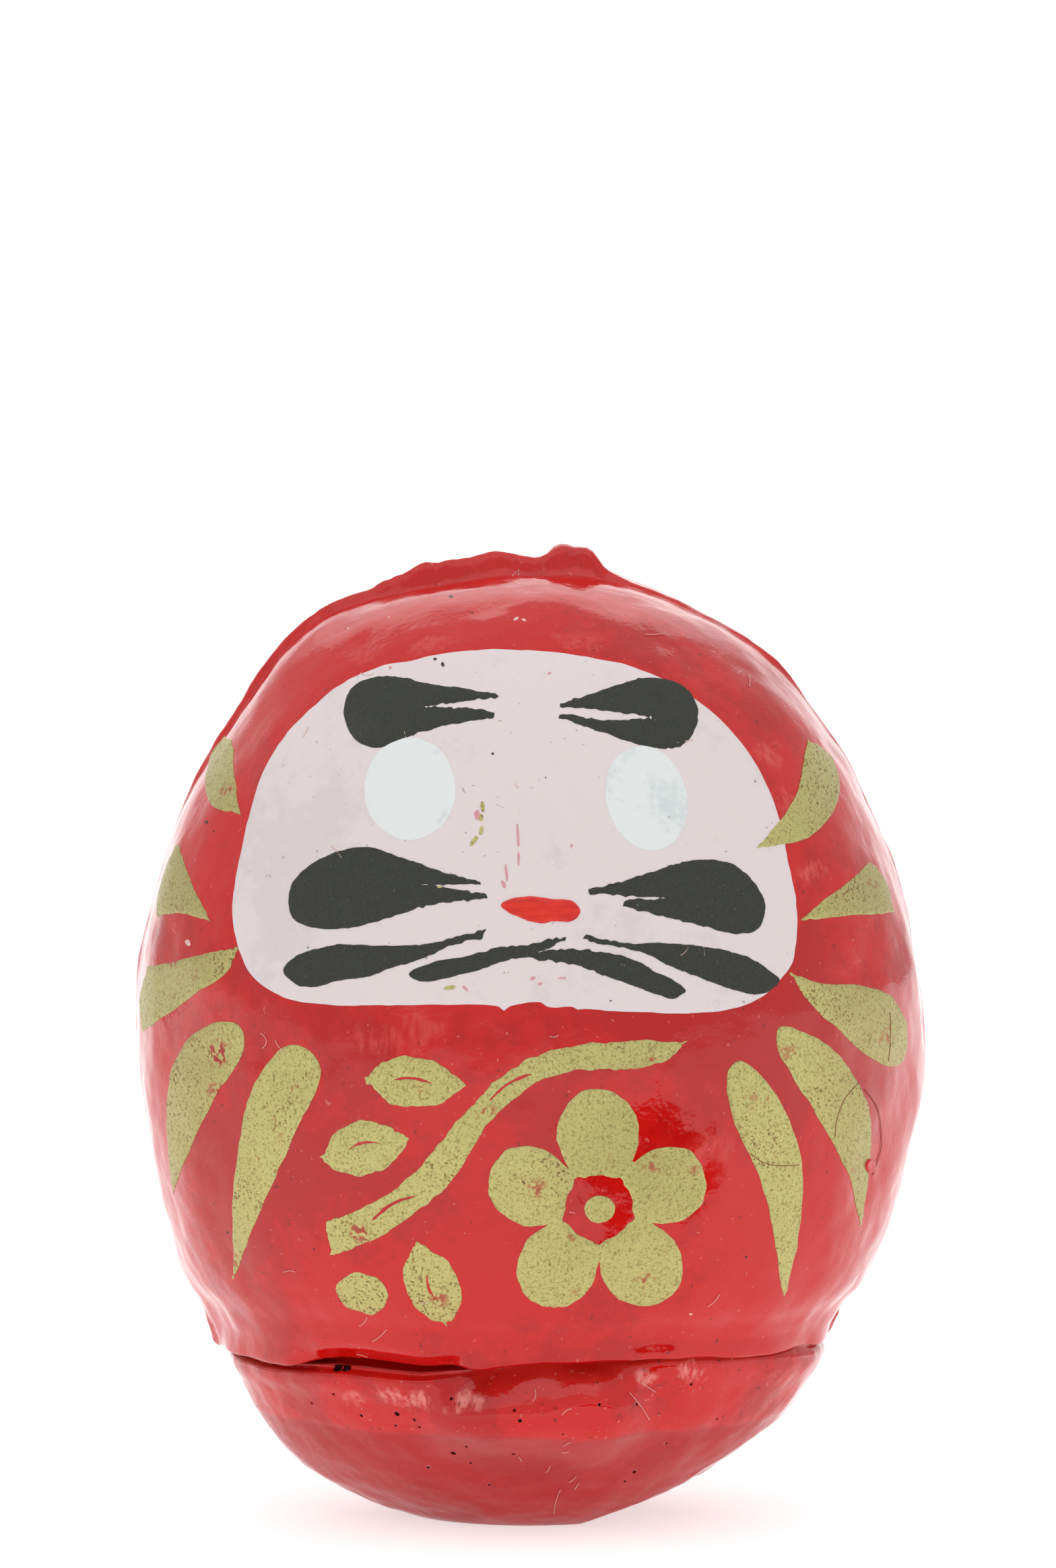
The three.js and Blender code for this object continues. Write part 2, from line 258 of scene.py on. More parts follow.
def softBox(name, place, aim, size, power):  # aimed rectangle of light
    data = bpy.data.lights.new(name, "AREA")
    data.shape = "RECTANGLE"
    data.size, data.size_y = size
    data.energy = power
    lamp = linked(name, data)
    lamp.location = place
    lamp.rotation_euler = (Vector(aim) - Vector(place)).to_track_quat("-Z", "Y").to_euler()
    lamp.visible_camera = False


def setStudio():
    world = bpy.data.worlds.new("surround")
    bpy.context.scene.world = world
    world.use_nodes = True
    tree = world.node_tree
    seen = tree.nodes.new("ShaderNodeLightPath").outputs["Is Camera Ray"]
    behind = split(tree, tree.nodes.new("ShaderNodeTexCoord").outputs["Generated"], "Y")
    around = mapped(tree, behind, *studio["turn"], studio["front"], studio["back"])
    strength = plus(tree, times(tree, seen, studio["backdrop"]),
                    times(tree, maths(tree, "SUBTRACT", 1.0, seen), around))
    background = tree.nodes["Background"].inputs
    background["Color"].default_value = (1, 1, 1, 1)
    feed(tree, background["Strength"], strength)
    for name, (place, aim, size, power) in studio["boxes"].items():
        softBox(name, place, aim, size, power)
    bpy.context.scene.view_settings.view_transform = "Standard"
    bpy.context.scene.view_settings.look = "None"


placeCamera()
setStudio()
print("camera and studio set")

# Finishes

finish = {name: srgb(*colour) for name, colour in {
    "lacquerRed": (200, 13, 8), "lacquerDeep": (168, 3, 5), "lacquerBright": (206, 30, 22),
    "dust": (214, 120, 112), "darkSpeck": (84, 6, 8), "paleScratch": (222, 120, 112), "lacquerBelowLine": (164, 12, 16),
    "faceWhite": (227, 214, 214), "faceStain": (194, 181, 186), "faceSmudge": (160, 162, 180),
    "eyeWhite": (228, 232, 231), "eyeStain": (196, 203, 206), "eyeSmudge": (180, 188, 196),
    "greySpeck": (120, 110, 104), "inkBlack": (57, 59, 54), "inkGrain": (77, 79, 73),
    "inkPale": (132, 134, 130), "inkWorn": (78, 80, 76), "mouthRed": (226, 42, 18), "mouthDeep": (206, 26, 12),
    "gold": (190, 183, 115), "goldDull": (140, 127, 70), "goldLight": (206, 199, 128),
    "goldDark": (124, 86, 46), "bareRed": (166, 32, 20), "shellPaintedSheen": (222, 92, 82), "thinBase": (232, 140, 132),
}.items()}


def coordinates(tree):
    return tree.nodes.new("ShaderNodeTexCoord").outputs["Object"]


def newMaskGroup(name, softness):  # Size in mm; Cover from 0, none, to 1, nearly all
    tree, start, end = newGroup(name, "ShaderNodeTree", [
        ("Vector", "Vector", None), ("Size", "Float", 1.0), ("Cover", "Float", 0.3),
        ("Softness", "Float", softness), ("Seed", "Float", 0.0)], [("Mask", "Float")])

    def grain(share, detail, shift=0.0, **more):
        seed = plus(tree, start["Seed"], shift) if shift else start["Seed"]
        scale = maths(tree, "DIVIDE", 1000.0 * share, start["Size"])
        return noise(tree, start["Vector"], scale, detail, seed, **more)

    def covering(pattern):
        edge = maths(tree, "SUBTRACT", 0.75, times(tree, start["Cover"], 0.5))
        return mapped(tree, pattern, edge, plus(tree, edge, start["Softness"]))

    return tree, end["Mask"], grain, covering


def makeSpeckleGroup():  # grains of one size
    tree, end, grain, covering = newMaskGroup("grainSpeckle", 0.05)
    tree.links.new(covering(grain(1, 1.0)), end)
    return tree


def makeSmudgeGroup():  # broken patches
    tree, end, grain, covering = newMaskGroup("brokenSmudge", 0.14)
    broken = swing(tree, grain(9, 4.0, Roughness=0.7), 0.5)
    tree.links.new(covering(plus(tree, grain(1, 2.0), broken)), end)
    return tree


def makeScratchGroup():  # fine hairline scratches in patches
    tree, end, grain, covering = newMaskGroup("hairScratches", 0.08)
    band = maths(tree, "SUBTRACT", grain(1, 1.0, 3.7, Distortion=1.2), 0.5)
    line = mapped(tree, maths(tree, "ABSOLUTE", band), 0.004, 0.012, 1.0, 0.0)
    tree.links.new(times(tree, line, covering(grain(0.7, 2.0))), end)
    return tree


def makePulpGroup():  # the paper's own unevenness under a coat of paint, as a height
    tree, start, end = newGroup("pulpGrain", "ShaderNodeTree", [
        ("Vector", "Vector", None), ("Coarse", "Float", 1.6), ("Fine", "Float", 0.35),
        ("Fine Share", "Float", 0.3)], [("Height", "Float")])
    coarse, fine = [noise(tree, start["Vector"], maths(tree, "DIVIDE", 1000.0, start[size]), detail)
                    for size, detail in (("Coarse", 2.0), ("Fine", 3.0))]
    tree.links.new(plus(tree, coarse, times(tree, fine, start["Fine Share"])), end["Height"])
    return tree


speckleGroup = makeSpeckleGroup()
smudgeGroup = makeSmudgeGroup()
scratchGroup = makeScratchGroup()
pulpGroup = makePulpGroup()


def maskOf(tree, place, group, size, cover, seed, *softness):
    sockets = {"Vector": place, "Size": size, "Cover": cover, "Seed": seed, **dict(zip(["Softness"], softness))}
    return addNode(tree, "ShaderNodeGroup", sockets, node_tree=group).outputs["Mask"]


def layered(tree, place, colour, layers):  # each layer: mask group, share, colour, and the mask's own values
    masks = []
    for group, share, over, *values in layers:
        masks.append(maskOf(tree, place, group, *values))
        colour = mixed(tree, times(tree, masks[-1], share), colour, over)
    return colour, masks


def frontPoint(x, z):  # on the front of the ideal body, mm
    up = abs(z - egg["widest"]) / (egg["crown"] - egg["widest"])
    half = egg["halfWidth"] * (1 - up ** egg["fullness"]) ** (1 / egg["fullness"])
    across = min(abs(x) / half, 0.99)
    return (x, -math.sqrt(1 - across ** 2) * half * egg["halfDepth"] / egg["halfWidth"], z)


patch = {"flat": 1.6, "fray": 3.2, "core": 0.3, "reach": 1.05}


def spotMask(tree, place, spots):  # ragged patches; each is a centre, a reach and a strength
    total = 0.0
    fray = noise(tree, place, 420.0, 3.0, Roughness=0.7)
    low = addNode(tree, "ShaderNodeMapping", {"Vector": place, "Scale": (1.0, 1.0, patch["flat"])}).outputs["Vector"]
    for (x, y, z), reach, strength in spots:
        away = addNode(tree, "ShaderNodeVectorMath", {
            0: low, 1: (x * mm, y * mm, patch["flat"] * z * mm)}, operation="DISTANCE").outputs["Value"]
        ragged = plus(tree, away, swing(tree, fray, reach * patch["fray"] * mm))
        spot = mapped(tree, ragged, reach * patch["core"] * mm, reach * patch["reach"] * mm, strength, 0.0)
        total = maths(tree, "MAXIMUM", spot, total)
    return total


def newMaterial(name):
    material = bpy.data.materials.new(name)
    material.use_nodes = True
    tree = material.node_tree
    return material, tree, tree.nodes["Principled BSDF"].inputs


def bumpInto(tree, shader, height, strength, depth):  # depth in mm
    bumps = addNode(tree, "ShaderNodeBump", {"Height": height, "Strength": strength, "Distance": depth * mm})
    tree.links.new(bumps.outputs["Normal"], shader["Normal"])


def pulpInto(tree, shader, place, coarse, fine, share, strength, depth=0.05):
    pulp = addNode(tree, "ShaderNodeGroup", {
        "Vector": place, "Coarse": coarse, "Fine": fine, "Fine Share": share}, node_tree=pulpGroup)
    bumpInto(tree, shader, pulp.outputs["Height"], strength, depth)


def lacquerMaterial(name, look):
    material, tree, shader = newMaterial(name)
    place = coordinates(tree)
    colour, _ = layered(tree, place, finish["lacquerRed"], [
        (smudgeGroup, 0.6, finish["lacquerDeep"], look["driftSize"], 0.55, 1.0),
        (smudgeGroup, look["bright"], finish["lacquerBright"], look["brightSize"], 0.35, 5.0),
        (speckleGroup, 0.5, finish["dust"], 0.35, look["dust"], 2.0, 0.04),
        (speckleGroup, 0.6, finish["darkSpeck"], 0.45, look["darkSpecks"], 8.0, 0.03),
        (scratchGroup, 0.35, finish["paleScratch"], look["scratchSize"], 0.18, 4.0)])
    if look["dip"]:  # darker below a nearly level line
        level = plus(tree, split(tree, place, "Z"), swing(tree, noise(tree, place, 140.0, 1.0), 1.2 * mm))
        below = mapped(tree, level, (look["dip"] - 0.25) * mm, (look["dip"] + 0.25) * mm, 1.0, 0.0)
        colour = mixed(tree, times(tree, below, 0.65), colour, finish["lacquerBelowLine"])
    # pale streaks: on the shell a painted reflection of the lights, on the base pale worn patches
    stretched = addNode(tree, "ShaderNodeMapping", {
        "Vector": place, "Scale": (1.0, 1.0, 0.22), "Rotation": (0, -0.6, 0)}).outputs["Vector"]
    streaks = mapped(tree, noise(tree, stretched, 1900.0, 4.0, Roughness=0.65), 0.35, 0.62)
    thin = spotMask(tree, place, look["thin"])
    colour = mixed(tree, times(tree, thin, streaks), colour, look["thinAndSheenColour"])
    feed(tree, shader["Base Color"], colour)
    worn = maskOf(tree, place, smudgeGroup, look["driftSize"] * 0.8, 0.5, 9.0)
    feed(tree, shader["Roughness"], plus(tree, look["rough"], times(tree, worn, look["roughDrift"])))
    shader["IOR"].default_value = 1.5
    pulpInto(tree, shader, place, look["coarse"], look["fine"], 0.25, look["bump"], 0.12)
    return material


shellLook = {
    "driftSize": 16.0, "brightSize": 11.0, "bright": 0.35, "dust": 0.06, "darkSpecks": 0.05, "scratchSize": 5.0,
    "rough": 0.08, "roughDrift": 0.09, "coarse": 1.1, "fine": 0.3, "bump": 0.32, "dip": 0.0,
    "thinAndSheenColour": finish["shellPaintedSheen"],
    # painted reflections: pale patches put where the lacquer would mirror the lights
    "thin": [(frontPoint(x, z), reach, strength) for x, z, reach, strength in (
        (19.6, 55.5, 2.2, 0.6), (18.2, 59.0, 1.8, 0.5), (21.2, 50.3, 2.0, 0.6), (4.0, 67.5, 1.9, 0.4),
        (-7.0, 67.3, 2.2, 0.4), (-12.5, 66.2, 1.6, 0.3), (-10.5, 38.5, 2.6, 0.36), (-12.0, 31.5, 2.4, 0.32),
        (-8.0, 39.6, 2.0, 0.36), (13.5, 30.5, 2.4, 0.3))],
}
baseLook = {
    "driftSize": 9.0, "brightSize": 6.0, "bright": 0.6, "dust": 0.1, "darkSpecks": 0.09, "scratchSize": 4.0,
    "rough": 0.05, "roughDrift": 0.09, "coarse": 0.9, "fine": 0.28, "bump": 0.3, "dip": 8.3,
    "thinAndSheenColour": finish["thinBase"],
    "thin": [((-10.5, -18.6, 11.3), 1.5, 0.7), ((-8.4, -19.3, 10.9), 1.6, 0.7), ((-4.6, -20.3, 11.4), 1.4, 0.75),
             ((-5.6, -20.1, 10.5), 1.0, 0.6), ((9.0, -19.2, 12.9), 1.3, 0.75), ((12.2, -17.6, 12.9), 1.6, 0.75),
             ((9.0, -18.9, 8.3), 0.8, 0.5), ((-13.0, -16.4, 10.8), 1.4, 0.5)],
}


def facePaintMaterial(name, look):
    material, tree, shader = newMaterial(name)
    place = coordinates(tree)
    colour, (broad, *_) = layered(tree, place, look["colour"], [
        (smudgeGroup, look["stain"], look["stainColour"], look["stainSize"], 0.5, 3.0),
        (smudgeGroup, 0.2, look["smudgeColour"], look["smudgeSize"], look["smudge"], 6.0),
        (speckleGroup, 0.5, finish["greySpeck"], 0.5, look["specks"], 7.0, 0.03)])
    feed(tree, shader["Base Color"], colour)
    feed(tree, shader["Roughness"], plus(tree, look["rough"], times(tree, broad, 0.12)))
    pulpInto(tree, shader, place, 0.9, 0.18, 0.4, look["bump"])
    return material


def inkMaterial():
    material, tree, shader = newMaterial("inkPaint")
    place = coordinates(tree)
    colour, (grain, *_) = layered(tree, place, finish["inkBlack"], [
        (speckleGroup, 0.5, finish["inkGrain"], 0.14, 0.5, 1.5, 0.2),
        (speckleGroup, 0.35, finish["inkPale"], 0.24, 0.05, 2.5, 0.05),
        (smudgeGroup, 0.25, finish["inkWorn"], 4.0, 0.25, 2.2)])
    feed(tree, shader["Base Color"], colour)
    feed(tree, shader["Roughness"], plus(tree, 0.68, times(tree, grain, 0.15)))
    shader["Specular IOR Level"].default_value = 0.2
    pulpInto(tree, shader, place, 0.5, 0.16, 0.7, 0.5)
    return material


def mouthMaterial():
    material, tree, shader = newMaterial("mouthPaint")
    streak = addNode(tree, "ShaderNodeMapping", {
        "Vector": coordinates(tree), "Scale": (0.3, 1.0, 1.6), "Rotation": (0, 0.35, 0)}).outputs["Vector"]
    bands = noise(tree, streak, 1800.0, 3.0)
    feed(tree, shader["Base Color"],
         mixed(tree, mapped(tree, bands, 0.35, 0.65), finish["mouthRed"], finish["mouthDeep"]))
    feed(tree, shader["Roughness"], mapped(tree, bands, 0.3, 0.7, 0.16, 0.3))
    bumpInto(tree, shader, bands, 0.6, 0.08)
    return material


goldWear = [(frontPoint(x, z), reach, strength) for x, z, reach, strength in (  # where the red shows through
    (-26.7, 43.3, 1.2, 1.0), (-23.2, 36.8, 2.0, 1.0), (-22.6, 56.5, 1.5, 0.8), (-23.0, 34.0, 1.4, 0.8),
    (26.0, 49.2, 1.0, 0.8), (27.2, 37.8, 1.3, 0.7), (-22.0, 21.0, 1.2, 0.6), (19.0, 37.4, 1.2, 0.5),
    (16.4, 34.0, 1.6, 0.5), (-12.6, 24.2, 1.4, 0.9), (-3.2, 33.4, 1.2, 0.7), (8.6, 20.6, 1.4, 0.8),
    (0.6, 28.0, 1.2, 0.7), (-6.6, 19.2, 1.0, 0.8), (8.6, 37.3, 1.1, 0.9), (9.2, 29.4, 1.1, 0.7))]


def goldMaterial():
    material, tree, shader = newMaterial("goldPaint")
    place = coordinates(tree)
    colour, _ = layered(tree, place, finish["gold"], [
        (speckleGroup, 0.55, finish["goldDull"], 0.15, 0.5, 1.0, 0.2),
        (speckleGroup, 0.5, finish["goldLight"], 0.2, 0.42, 9.0, 0.15)])
    dense = maskOf(tree, place, smudgeGroup, 7.0, 0.5, 2.0)
    dark = maskOf(tree, place, speckleGroup, 0.19, 0.4, 4.0, 0.1)
    amount = times(tree, dark, mapped(tree, dense, 0.0, 1.0, 0.4, 0.85))
    colour = mixed(tree, amount, colour, finish["goldDark"])
    aside = maths(tree, "ABSOLUTE", split(tree, place, "X"))  # browner towards the sides
    colour = mixed(tree, mapped(tree, aside, 19 * mm, 26 * mm, 0.0, 0.24), colour, finish["goldDark"])
    rubbed = times(tree, maskOf(tree, place, smudgeGroup, 2.2, 0.16, 3.0), 0.7)
    scratched = times(tree, maskOf(tree, place, scratchGroup, 4.0, 0.2, 6.0), 0.8)
    crumbs = times(tree, maskOf(tree, place, speckleGroup, 0.5, 0.55, 11.0, 0.05), spotMask(tree, place, goldWear))
    bare = maths(tree, "MAXIMUM", maths(tree, "MAXIMUM", rubbed, scratched), crumbs)
    feed(tree, shader["Base Color"], mixed(tree, bare, colour, finish["bareRed"]))
    feed(tree, shader["Metallic"], times(tree, maths(tree, "SUBTRACT", 1.0, bare), 0.45))
    feed(tree, shader["Roughness"], plus(tree, 0.42, times(tree, dark, 0.2)))
    pulpInto(tree, shader, place, 0.4, 0.13, 0.8, 0.45)
    return material


def plainMaterial(name, colour, rough):
    material, tree, shader = newMaterial(name)
    place = coordinates(tree)
    darker = (*[c * 0.75 for c in srgb(*colour)[:3]], 1.0)
    made, _ = layered(tree, place, srgb(*colour), [(speckleGroup, 0.5, darker, 0.3, 0.5, 1.0, 0.2)])
    feed(tree, shader["Base Color"], made)
    shader["Roughness"].default_value = rough
    pulpInto(tree, shader, place, 0.6, 0.2, 0.5, 0.2)
    return material


shellLacquer = lacquerMaterial("shellLacquer", shellLook)
baseLacquer = lacquerMaterial("baseLacquer", baseLook)
facePaint = facePaintMaterial("facePaint", {
    "colour": finish["faceWhite"], "stainColour": finish["faceStain"], "smudgeColour": finish["faceSmudge"],
    "stainSize": 12.0, "stain": 0.25, "smudgeSize": 5.0, "smudge": 0.14, "specks": 0.05, "rough": 0.5, "bump": 0.3})
eyePaint = facePaintMaterial("eyePaint", {
    "colour": finish["eyeWhite"], "stainColour": finish["eyeStain"], "smudgeColour": finish["eyeSmudge"],
    "stainSize": 6.0, "stain": 0.5, "smudgeSize": 3.0, "smudge": 0.2, "specks": 0.01, "rough": 0.55, "bump": 0.25})
inkPaint = inkMaterial()
mouthPaint = mouthMaterial()
goldPaint = goldMaterial()
rawPaper = plainMaterial("rawPaper", (176, 160, 138), 0.9)
lintWhite = plainMaterial("lintWhite", (232, 190, 180), 0.7)
# painted shade: the dark red inside the cut holes and on the small body pits stands for the shade in them
pinholeDark = plainMaterial("pinholeDark", (74, 8, 9), 0.35)
wornRed = plainMaterial("wornRed", (138, 34, 26), 0.35)
pinkSmear = plainMaterial("pinkSmear", (216, 150, 156), 0.5)
print("finishes made")

# Body shell

shell = {
    "lip": 13.2, "wall": 1.4, "lipFlare": 0.6, "neck": 0.35, "lipBack": 0.3,
    "columns": 330, "rows": 190, "innerRows": 8,
    "seamRows": 18, "seamSpan": 2.6,       # fine rows beside the seam, and the degrees they cover
    # how far the lip rises at each place across the front
    "lipLine": [(-23, 0.2), (-20, 0.0), (-14, 0.4), (-8, 0.2), (-4, 0.55), (1, 1.25), (9, 1.4), (15, 1.05),
                (20, 0.9), (23, 0.5)],
    "curl": 0.6, "bead": 0.3,              # how far the lip rolls under at the front left, and the roll's swelling
    # hollows and swellings: x, y, z, reach and height
    "dents": [
        (-27, 0, 54, 9, -0.4), (27, 0, 52, 11, -0.65), (-30, 0, 29, 7, -0.85), (24.5, 0, 15, 4, -0.6),
        (28, 0, 22, 5, -0.35), (-14.5, -3, 67.5, 6.0, 0.95), (-12, -12, 67, 4, -0.1), (-23.5, 0, 61, 4, -0.5),
        (-20, -16, 57, 5, 0.25), (6, -26, 45, 9, -0.3), (-14, -24, 29, 6, 0.3), (17, -21, 40, 6, 0.25),
        (-24, -12, 42, 5, -0.25), (-24.5, 0, 15.5, 3.2, 0.5), (10, 22, 50, 8, -0.5), (-12, 24, 30, 7, 0.35),
        (14, 22, 28, 6, -0.4), (-10, 20, 60, 6, -0.35),
    ],
}
ridge = {
    "halfThickness": 0.95, "slope": 0.6, "valley": 0.3, "rough": 0.1,
    # height of the crest at each angle from the crown, left to right
    "crest": [
        (-136, 0.2), (-135, 0.35), (-133, 0.3), (-131, 0.06), (-60, 0.06), (-47, 0.35), (-42, 0.5), (-36, 0.6),
        (-31, 0.7), (-24, 0.75), (-19.5, 0.8), (-15.5, 1.2), (-12, 1.6), (0, 1.45), (7, 1.3), (9.5, 0.7),
        (13, 0.35), (30, 0.2), (34, 0.32), (40, 0.1), (130, 0.06), (132.5, 0.5), (134.5, 0.45), (136, 0.2),
    ],
    # lumps of paste on the crown: x, y, reach across, reach to the front, height
    "nub": [(2.4, 0.0, 1.0, 1.5, 1.0), (4.3, -0.3, 1.1, 1.6, 0.95), (-2.2, -0.5, 1.6, 1.3, 0.2)],
    "crownAbove": 60,
}
levelled = np.array([1, 1, 0])             # drops a point's height


def eggParts(p):  # how far out and how far up each point is, as shares of the egg
    across = np.hypot(p[:, 0] / egg["halfWidth"], p[:, 1] / egg["halfDepth"])
    return across, (p[:, 2] - egg["widest"]) / (egg["crown"] - egg["widest"])


def eggNormal(p):
    power = egg["fullness"]
    across, up = eggParts(p)
    outer = np.maximum(across, 1e-6) ** (power - 2)
    slope = np.stack([
        outer * p[:, 0] / egg["halfWidth"] ** 2, outer * p[:, 1] / egg["halfDepth"] ** 2,
        np.sign(up) * np.abs(up) ** (power - 1) / (egg["crown"] - egg["widest"])], axis=1)
    return slope / np.linalg.norm(slope, axis=1, keepdims=True)


def eggAlong(start, directions):  # where rays from inside meet the egg
    near = np.zeros(len(directions))
    far = np.full(len(directions), 90.0)
    for _ in range(44):
        middle = (near + far) / 2
        across, up = eggParts(start + directions * middle[:, None])
        within = across ** egg["fullness"] + np.abs(up) ** egg["fullness"] - 1 < 0
        near = np.where(within, middle, near)
        far = np.where(within, far, middle)
    return start + directions * far[:, None]


def ridgeLift(p):  # height of the seam ridge and the lumps on it
    angle = np.degrees(np.arctan2(p[:, 0], p[:, 2] - egg["widest"]))
    crest = np.interp(angle, *np.array(ridge["crest"]).T)
    along = p[:, [0, 2, 1]] * levelled
    crest = crest * (1 + ridge["rough"] * lumps(along, 1.3, 3) + 0.5 * ridge["rough"] * lumps(along, 0.5, 4))
    aside = np.abs(p[:, 1]) + 0.22 * lumps(p, 1.1, 5)
    lift = crest * (1 - gentle(aside, ridge["halfThickness"], ridge["halfThickness"] + ridge["slope"]))
    lift -= ridge["valley"] * gentle(crest, 0.5, 1.3) * bump(aside, ridge["halfThickness"] + 1.0, 0.55)
    for x, y, wide, far, height in ridge["nub"]:
        reach = np.abs((p[:, 0] - x) / wide) ** 2.6 + np.abs((p[:, 1] - y) / far) ** 2.6
        lift += np.where(p[:, 2] > ridge["crownAbove"], height * np.exp(-reach), 0)
    return lift


def lipRise(p):  # the lip's own uneven line, for the shell and the casting under it
    front = np.interp(p[:, 0], *np.array(shell["lipLine"]).T)
    back = shell["lipBack"] * (1 + lumps(p * np.array([1, 0, 0]), 9.0, 12))
    share = gentle(p[:, 1], -3, 3)
    return front * (1 - share) + back * share


def bodyLift(p):
    lift = ridgeLift(p) + swellings(p, shell["dents"])
    above = p[:, 2] - shell["lip"]
    # the lip flares, except at the front left, where it rolls under
    curl = gentle(p[:, 0], -18, -15) * (1 - gentle(p[:, 0], -6, -3)) * (p[:, 1] < 0)
    flare = shell["lipFlare"] * (1 + 0.6 * lumps(p * levelled, 4.0, 8))
    flare *= (1 - 0.5 * gentle(p[:, 0], 17, 22)) * (1 - 0.8 * curl)
    lift += flare * (1 - gentle(above, 0.0, 1.6)) ** 1.5
    lift += curl * (shell["bead"] * bump(above, 1.9, 0.8) - shell["curl"] * (1 - gentle(above, 0.0, 1.3)))
    return lift - shell["neck"] * bump(above, 3.0, 1.5)


def raiseLip(p):
    p[:, 2] += lipRise(p) * (1 - gentle(p[:, 2] - shell["lip"], 0.2, 4.5))
    return p


def buildShell(name, side):
    start = np.array([0.0, 0.0, shell["lip"]])
    tilt = np.radians(np.concatenate([
        np.linspace(0, shell["seamSpan"], shell["seamRows"])[:-1], np.linspace(shell["seamSpan"], 90, shell["rows"])]))
    # columns are evenly spaced along the seam
    fine = np.linspace(0, math.pi, 4000)
    seam = eggAlong(start, np.stack([np.cos(fine), np.zeros(4000), np.sin(fine)], axis=1))
    length = np.concatenate([[0], np.cumsum(np.linalg.norm(np.diff(seam, axis=0), axis=1))])
    turn = np.interp(np.linspace(0, length[-1], shell["columns"] + 1), length, fine)[1:-1]
    ends = eggAlong(start, np.array([[1.0, 0, 0], [-1.0, 0, 0]]))
    count = len(turn)

    def rowPoints(tilts):
        lean, swung = [angles.ravel() for angles in np.meshgrid(tilts, turn, indexing="ij")]
        directions = np.stack([
            np.cos(swung), side * np.sin(swung) * np.sin(lean), np.sin(swung) * np.cos(lean)], axis=1)
        return np.concatenate([eggAlong(start, directions), ends])

    outer = rowPoints(tilt)
    outerOut = eggNormal(outer)
    outer = raiseLip(outer + outerOut * bodyLift(outer)[:, None])
    inner = rowPoints(np.radians(np.linspace(0, 90, shell["innerRows"])))
    inner = inner - eggNormal(inner) * shell["wall"]
    inner[:, 2] = np.maximum(inner[:, 2], shell["lip"] + 0.15)
    inner = raiseLip(inner)
    faces = []

    def grid(first, rows):
        rightPole, leftPole = first + rows * count, first + rows * count + 1
        for row in range(rows - 1):
            a, b = first + row * count, first + (row + 1) * count
            faces.extend((a + j, a + j + 1, b + j + 1, b + j) for j in range(count - 1))
            faces.append((rightPole, a, b))
            faces.append((a + count - 1, leftPole, b + count - 1))
        return rightPole, leftPole

    outerPoles = grid(0, len(tilt))
    outerFaces = len(faces)
    innerPoles = grid(len(outer), shell["innerRows"])
    for a, b in ((0, len(outer)), ((len(tilt) - 1) * count, len(outer) + (shell["innerRows"] - 1) * count)):
        # joins an outer row to an inner row
        right, left = zip(outerPoles, innerPoles)
        loop = [right, *[(a + j, b + j) for j in range(count)], left]
        faces.extend((p[0], p[1], q[1], q[0]) for p, q in zip(loop, loop[1:]))
    points = np.concatenate([outer, inner])
    solid = makeMesh(name, points, faces, [shellLacquer, rawPaper])
    inside = np.zeros(len(faces), dtype=np.int32)
    inside[outerFaces:] = 1
    solid.data.polygons.foreach_set("material_index", inside)
    push = np.zeros((len(points), 3))
    push[:len(outer)] = outerOut
    push[np.abs(points[:, 1]) < 1e-6, 1] = 0  # the seam's own edge only moves in the seam's plane
    storeVectors(solid.data, "outward", push)
    outwards(solid)
    return solid


def makeLumpTree():  # uneven hand-moulded skin, pushed along the stored outward direction
    tree, start, end = newShapeTree(
        "handMoulded", ("Lump Size", "Float", 9.0), ("Lump Height", "Float", 0.35),
        ("Dimple Size", "Float", 3.0), ("Dimple Height", "Float", 0.08), ("Seed", "Float", 1.0))
    place = tree.nodes.new("GeometryNodeInputPosition").outputs[0]

    def layer(kind, shift):
        scale = maths(tree, "DIVIDE", 1000.0, start[kind + " Size"])
        pattern = noise(tree, place, scale, 1.0, plus(tree, start["Seed"], shift))
        return swing(tree, pattern, times(tree, start[kind + " Height"], 2 * mm))

    outward = addNode(tree, "GeometryNodeInputNamedAttribute", {"Name": "outward"}, data_type="FLOAT_VECTOR")
    push = addNode(tree, "ShaderNodeVectorMath", {
        0: outward.outputs[0], "Scale": plus(tree, layer("Lump", 0.0), layer("Dimple", 4.3))}, operation="SCALE")
    moved = addNode(tree, "GeometryNodeSetPosition", {"Geometry": start["Geometry"], "Offset": push.outputs["Vector"]})
    # the shell's inside keeps its raw paper
    skin = addNode(tree, "FunctionNodeCompare", {
        2: tree.nodes.new("GeometryNodeInputMaterialIndex").outputs[0], 3: 0}, data_type="INT", operation="EQUAL")
    return endTree(tree, start, end, moved.outputs[0], skin.outputs[0])


lumpTree = makeLumpTree()
shellLumps = {"Lump Size": 11.0, "Lump Height": 0.7, "Dimple Size": 3.4, "Dimple Height": 0.16, "Seed": 2.0}
frontShell, backShell = [
    applyTree(buildShell(name, side), lumpTree, {**shellLumps, "Material": shellLacquer})
    for name, side in (("frontShell", -1), ("backShell", 1))]
print("shell moulded")

# Base weight

